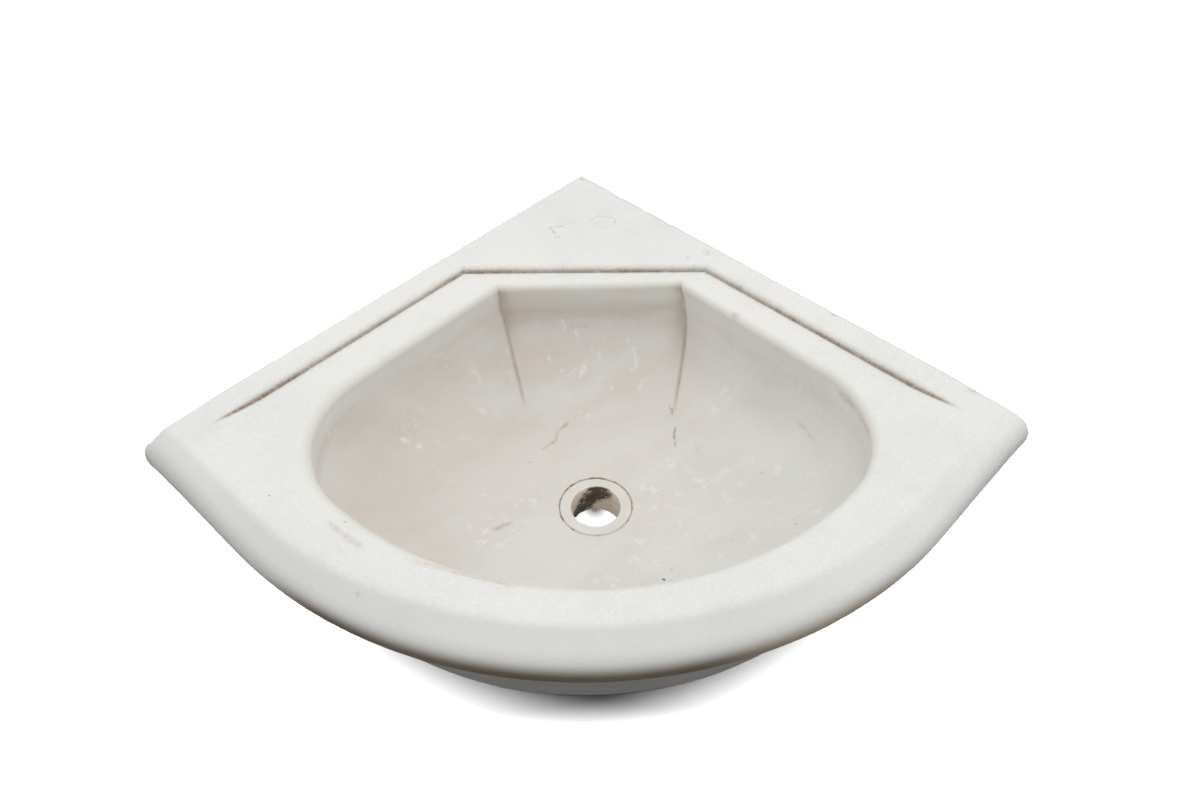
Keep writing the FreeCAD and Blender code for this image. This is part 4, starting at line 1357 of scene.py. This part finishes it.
collar = grow(
    "collar_stone", bpy.data.meshes.new("collar_stone"), sweep,
    bore=float(BORE_RADIUS * MM), outer=float(COLLAR_RADIUS * MM),
    foot=float(COLLAR_FOOT * MM), top=float(OUTLET_LEVEL * MM),
    centre=(*(OUTLET * MM).tolist(), float(OUTLET_LEVEL + COLLAR_FOOT) / 2 * MM),
    worn_edge=1.0 * MM, waver=0.5 * MM, waver_scale=90.0, steps=192, seed=3, stone=collar_marble,
)
collar.data.set_sharp_from_angle(angle=SHARP_TURN)
plug_middle = outline.mean(axis=0)
reach = np.linalg.norm(outline - plug_middle, axis=1)[:, None]
eased = outline - (outline - plug_middle) / reach * PLUG_ROOM
plug = put("plug_stone", prism("plug_stone", eased, plug_low[2], plug_high[2], PLUG_EASE))
plug.data.materials.append(plug_marble)
print(f"collar of {2 * COLLAR_RADIUS:.0f} mm and plug with {len(outline)} sides")

# %% [markdown]
# ## Joining the frame
#
# Nothing on this basin moves, so every piece rides on the one body. The three dressed stones stand for
# their solids. The two putty beds keep their solids and only change their finish.

# %% Ride, replace and finish
PIECES = (
    (basin, "basin", "marble"),
    (collar, "outlet_collar", "collar_marble"),
    (plug, "ledge_plug", "plug_marble"),
)
for piece, node, slot in PIECES:
    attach(piece, "root")
    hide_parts(node)
for node, material in (("collar_bedding", stained_putty), ("plug_bedding", lime_putty)):
    bed = frame["nodes"][node]
    bed.data.materials.clear()
    bed.data.materials.append(material)
print("dressed:", ", ".join(node for _, node, _ in PIECES))

# %% [markdown]
# ## Floor, light and camera
#
# The basin stands on a studio floor that is lit until it burns out to white, so only a narrow shadow under
# the front is left. Light linking does that without touching the stone: two lamps, one at each side, reach
# the floor alone, and their shadows overlap only under the front. The floor is hidden from bounced light,
# reflections and shadows, because a burnt-out floor would light the belly from below. The stone has one
# wide lamp overhead and a sky that is dark below, bright from a low height upwards and a little brighter
# at the sides, which keeps the nose round. The camera's place and direction were worked out from the
# block's straight edges and the right angle of its corner.

# %% Floor
FLOOR_SIDE, FLOOR_SHADE = 12.0, 0.13
FLOOR_LIGHT, FLOOR_LIGHT_WIDTH = 34.0, math.radians(20)
FLOOR_LIGHT_HEIGHT, FLOOR_LIGHT_TURN = math.radians(54), math.radians(80)


def lay_floor():
    """A wide plain floor that gives the stone no light, no reflection and no shadow."""
    work = bmesh.new()
    bmesh.ops.create_grid(work, x_segments=1, y_segments=1, size=FLOOR_SIDE / 2)
    mesh = bpy.data.meshes.new("floor")
    work.to_mesh(mesh)
    work.free()
    material = bpy.data.materials.new("white_floor")
    material.use_nodes = True
    material.node_tree.nodes.clear()
    nodes = Nodes(material.node_tree)
    shade = nodes.add("ShaderNodeBsdfDiffuse", None, {"Color": tint(FLOOR_SHADE, FLOOR_SHADE, FLOOR_SHADE)})
    nodes.add("ShaderNodeOutputMaterial", None, {"Surface": shade})
    mesh.materials.append(material)
    floor = put("floor", mesh)
    floor.visible_diffuse = floor.visible_glossy = floor.visible_shadow = False
    return floor


def light_floor(floor):
    """Two lamps, one at each side, that reach the floor alone."""
    alone = bpy.data.collections.new("floor_alone")
    alone.objects.link(floor)
    for turn in (FLOOR_LIGHT_TURN, -FLOOR_LIGHT_TURN):
        lamp = bpy.data.lights.new("floor_light", "SUN")
        lamp.energy, lamp.angle = FLOOR_LIGHT, FLOOR_LIGHT_WIDTH
        light = put("floor_light", lamp)
        low = math.cos(FLOOR_LIGHT_HEIGHT)
        way = Vector((math.sin(turn) * low, -math.cos(turn) * low, math.sin(FLOOR_LIGHT_HEIGHT)))
        light.rotation_euler = way.to_track_quat("Z", "Y").to_euler()
        light.light_linking.receiver_collection = alone


light_floor(lay_floor())
print(f"floor of {FLOOR_SIDE:.0f} m with two lamps of its own")

# %% Light
LIGHT_PLACE, LIGHT_SIZE, LIGHT_POWER = (0.5, 0.6, 6.0), 3.0, 25.0
SKY_DARK, SKY_CLEAR, SKY_LOW, SKY_HIGH, SKY_SIDE = 0.12, 0.4, 0.1, 1.02, 0.35
SKY_TOP = (0.05, 0.05, 0.9975)


def hang_light():
    """A wide soft lamp overhead, and a sky that is dark below."""
    lamp = bpy.data.lights.new("softbox", "AREA")
    lamp.energy, lamp.size = LIGHT_POWER, LIGHT_SIZE
    light = put("softbox", lamp)
    light.location = LIGHT_PLACE
    light.rotation_euler = (-Vector(LIGHT_PLACE)).to_track_quat("-Z", "Y").to_euler()
    world = bpy.data.worlds.new("studio")
    world.use_nodes = True
    nodes = Nodes(world.node_tree)
    way = nodes.add("ShaderNodeTexCoord", output="Generated")
    clear = nodes.ramp(nodes.vector("DOT_PRODUCT", way, SKY_TOP), SKY_DARK, SKY_CLEAR)
    sideways = nodes.axis(way, "X")
    glow = SKY_LOW + (SKY_HIGH - SKY_LOW) * clear + SKY_SIDE * sideways * sideways
    background = world.node_tree.nodes["Background"]
    background.inputs["Color"].default_value = tint(1.0, 1.0, 1.0)
    world.node_tree.links.new(glow.socket, background.inputs["Strength"])
    bpy.context.scene.world = world


hang_light()
bpy.context.scene.view_settings.view_transform = "Standard"
print(f"one lamp of {LIGHT_SIZE:.0f} m overhead, under a sky of {SKY_LOW} to {SKY_HIGH}")

# %% Camera
FRAME_WIDTH, FOCAL_PIXELS, SENSOR = 1200, 1080, 36.0
CAMERA_PLACE = (-0.0109, -0.63856, 0.7472)
CAMERA_LOOK, CAMERA_RIGHT = np.array((0.0225, 0.6970, -0.7166)), np.array((0.9995, -0.0323, 0.0))


def stand_camera():
    """A camera at the angle of the view that was measured."""
    lens = bpy.data.cameras.new("camera")
    lens.sensor_fit, lens.sensor_width = "HORIZONTAL", SENSOR
    lens.lens = SENSOR * FOCAL_PIXELS / FRAME_WIDTH
    look, right = (vector / np.linalg.norm(vector) for vector in (CAMERA_LOOK, CAMERA_RIGHT))
    turn = Matrix(np.column_stack((right, np.cross(right, look), -look)).tolist()).to_4x4()
    camera = put("camera", lens)
    camera.matrix_world = Matrix.Translation(CAMERA_PLACE) @ turn
    bpy.context.scene.camera = camera


stand_camera()
print(f"camera with a {bpy.context.scene.camera.data.lens:.1f} mm lens")
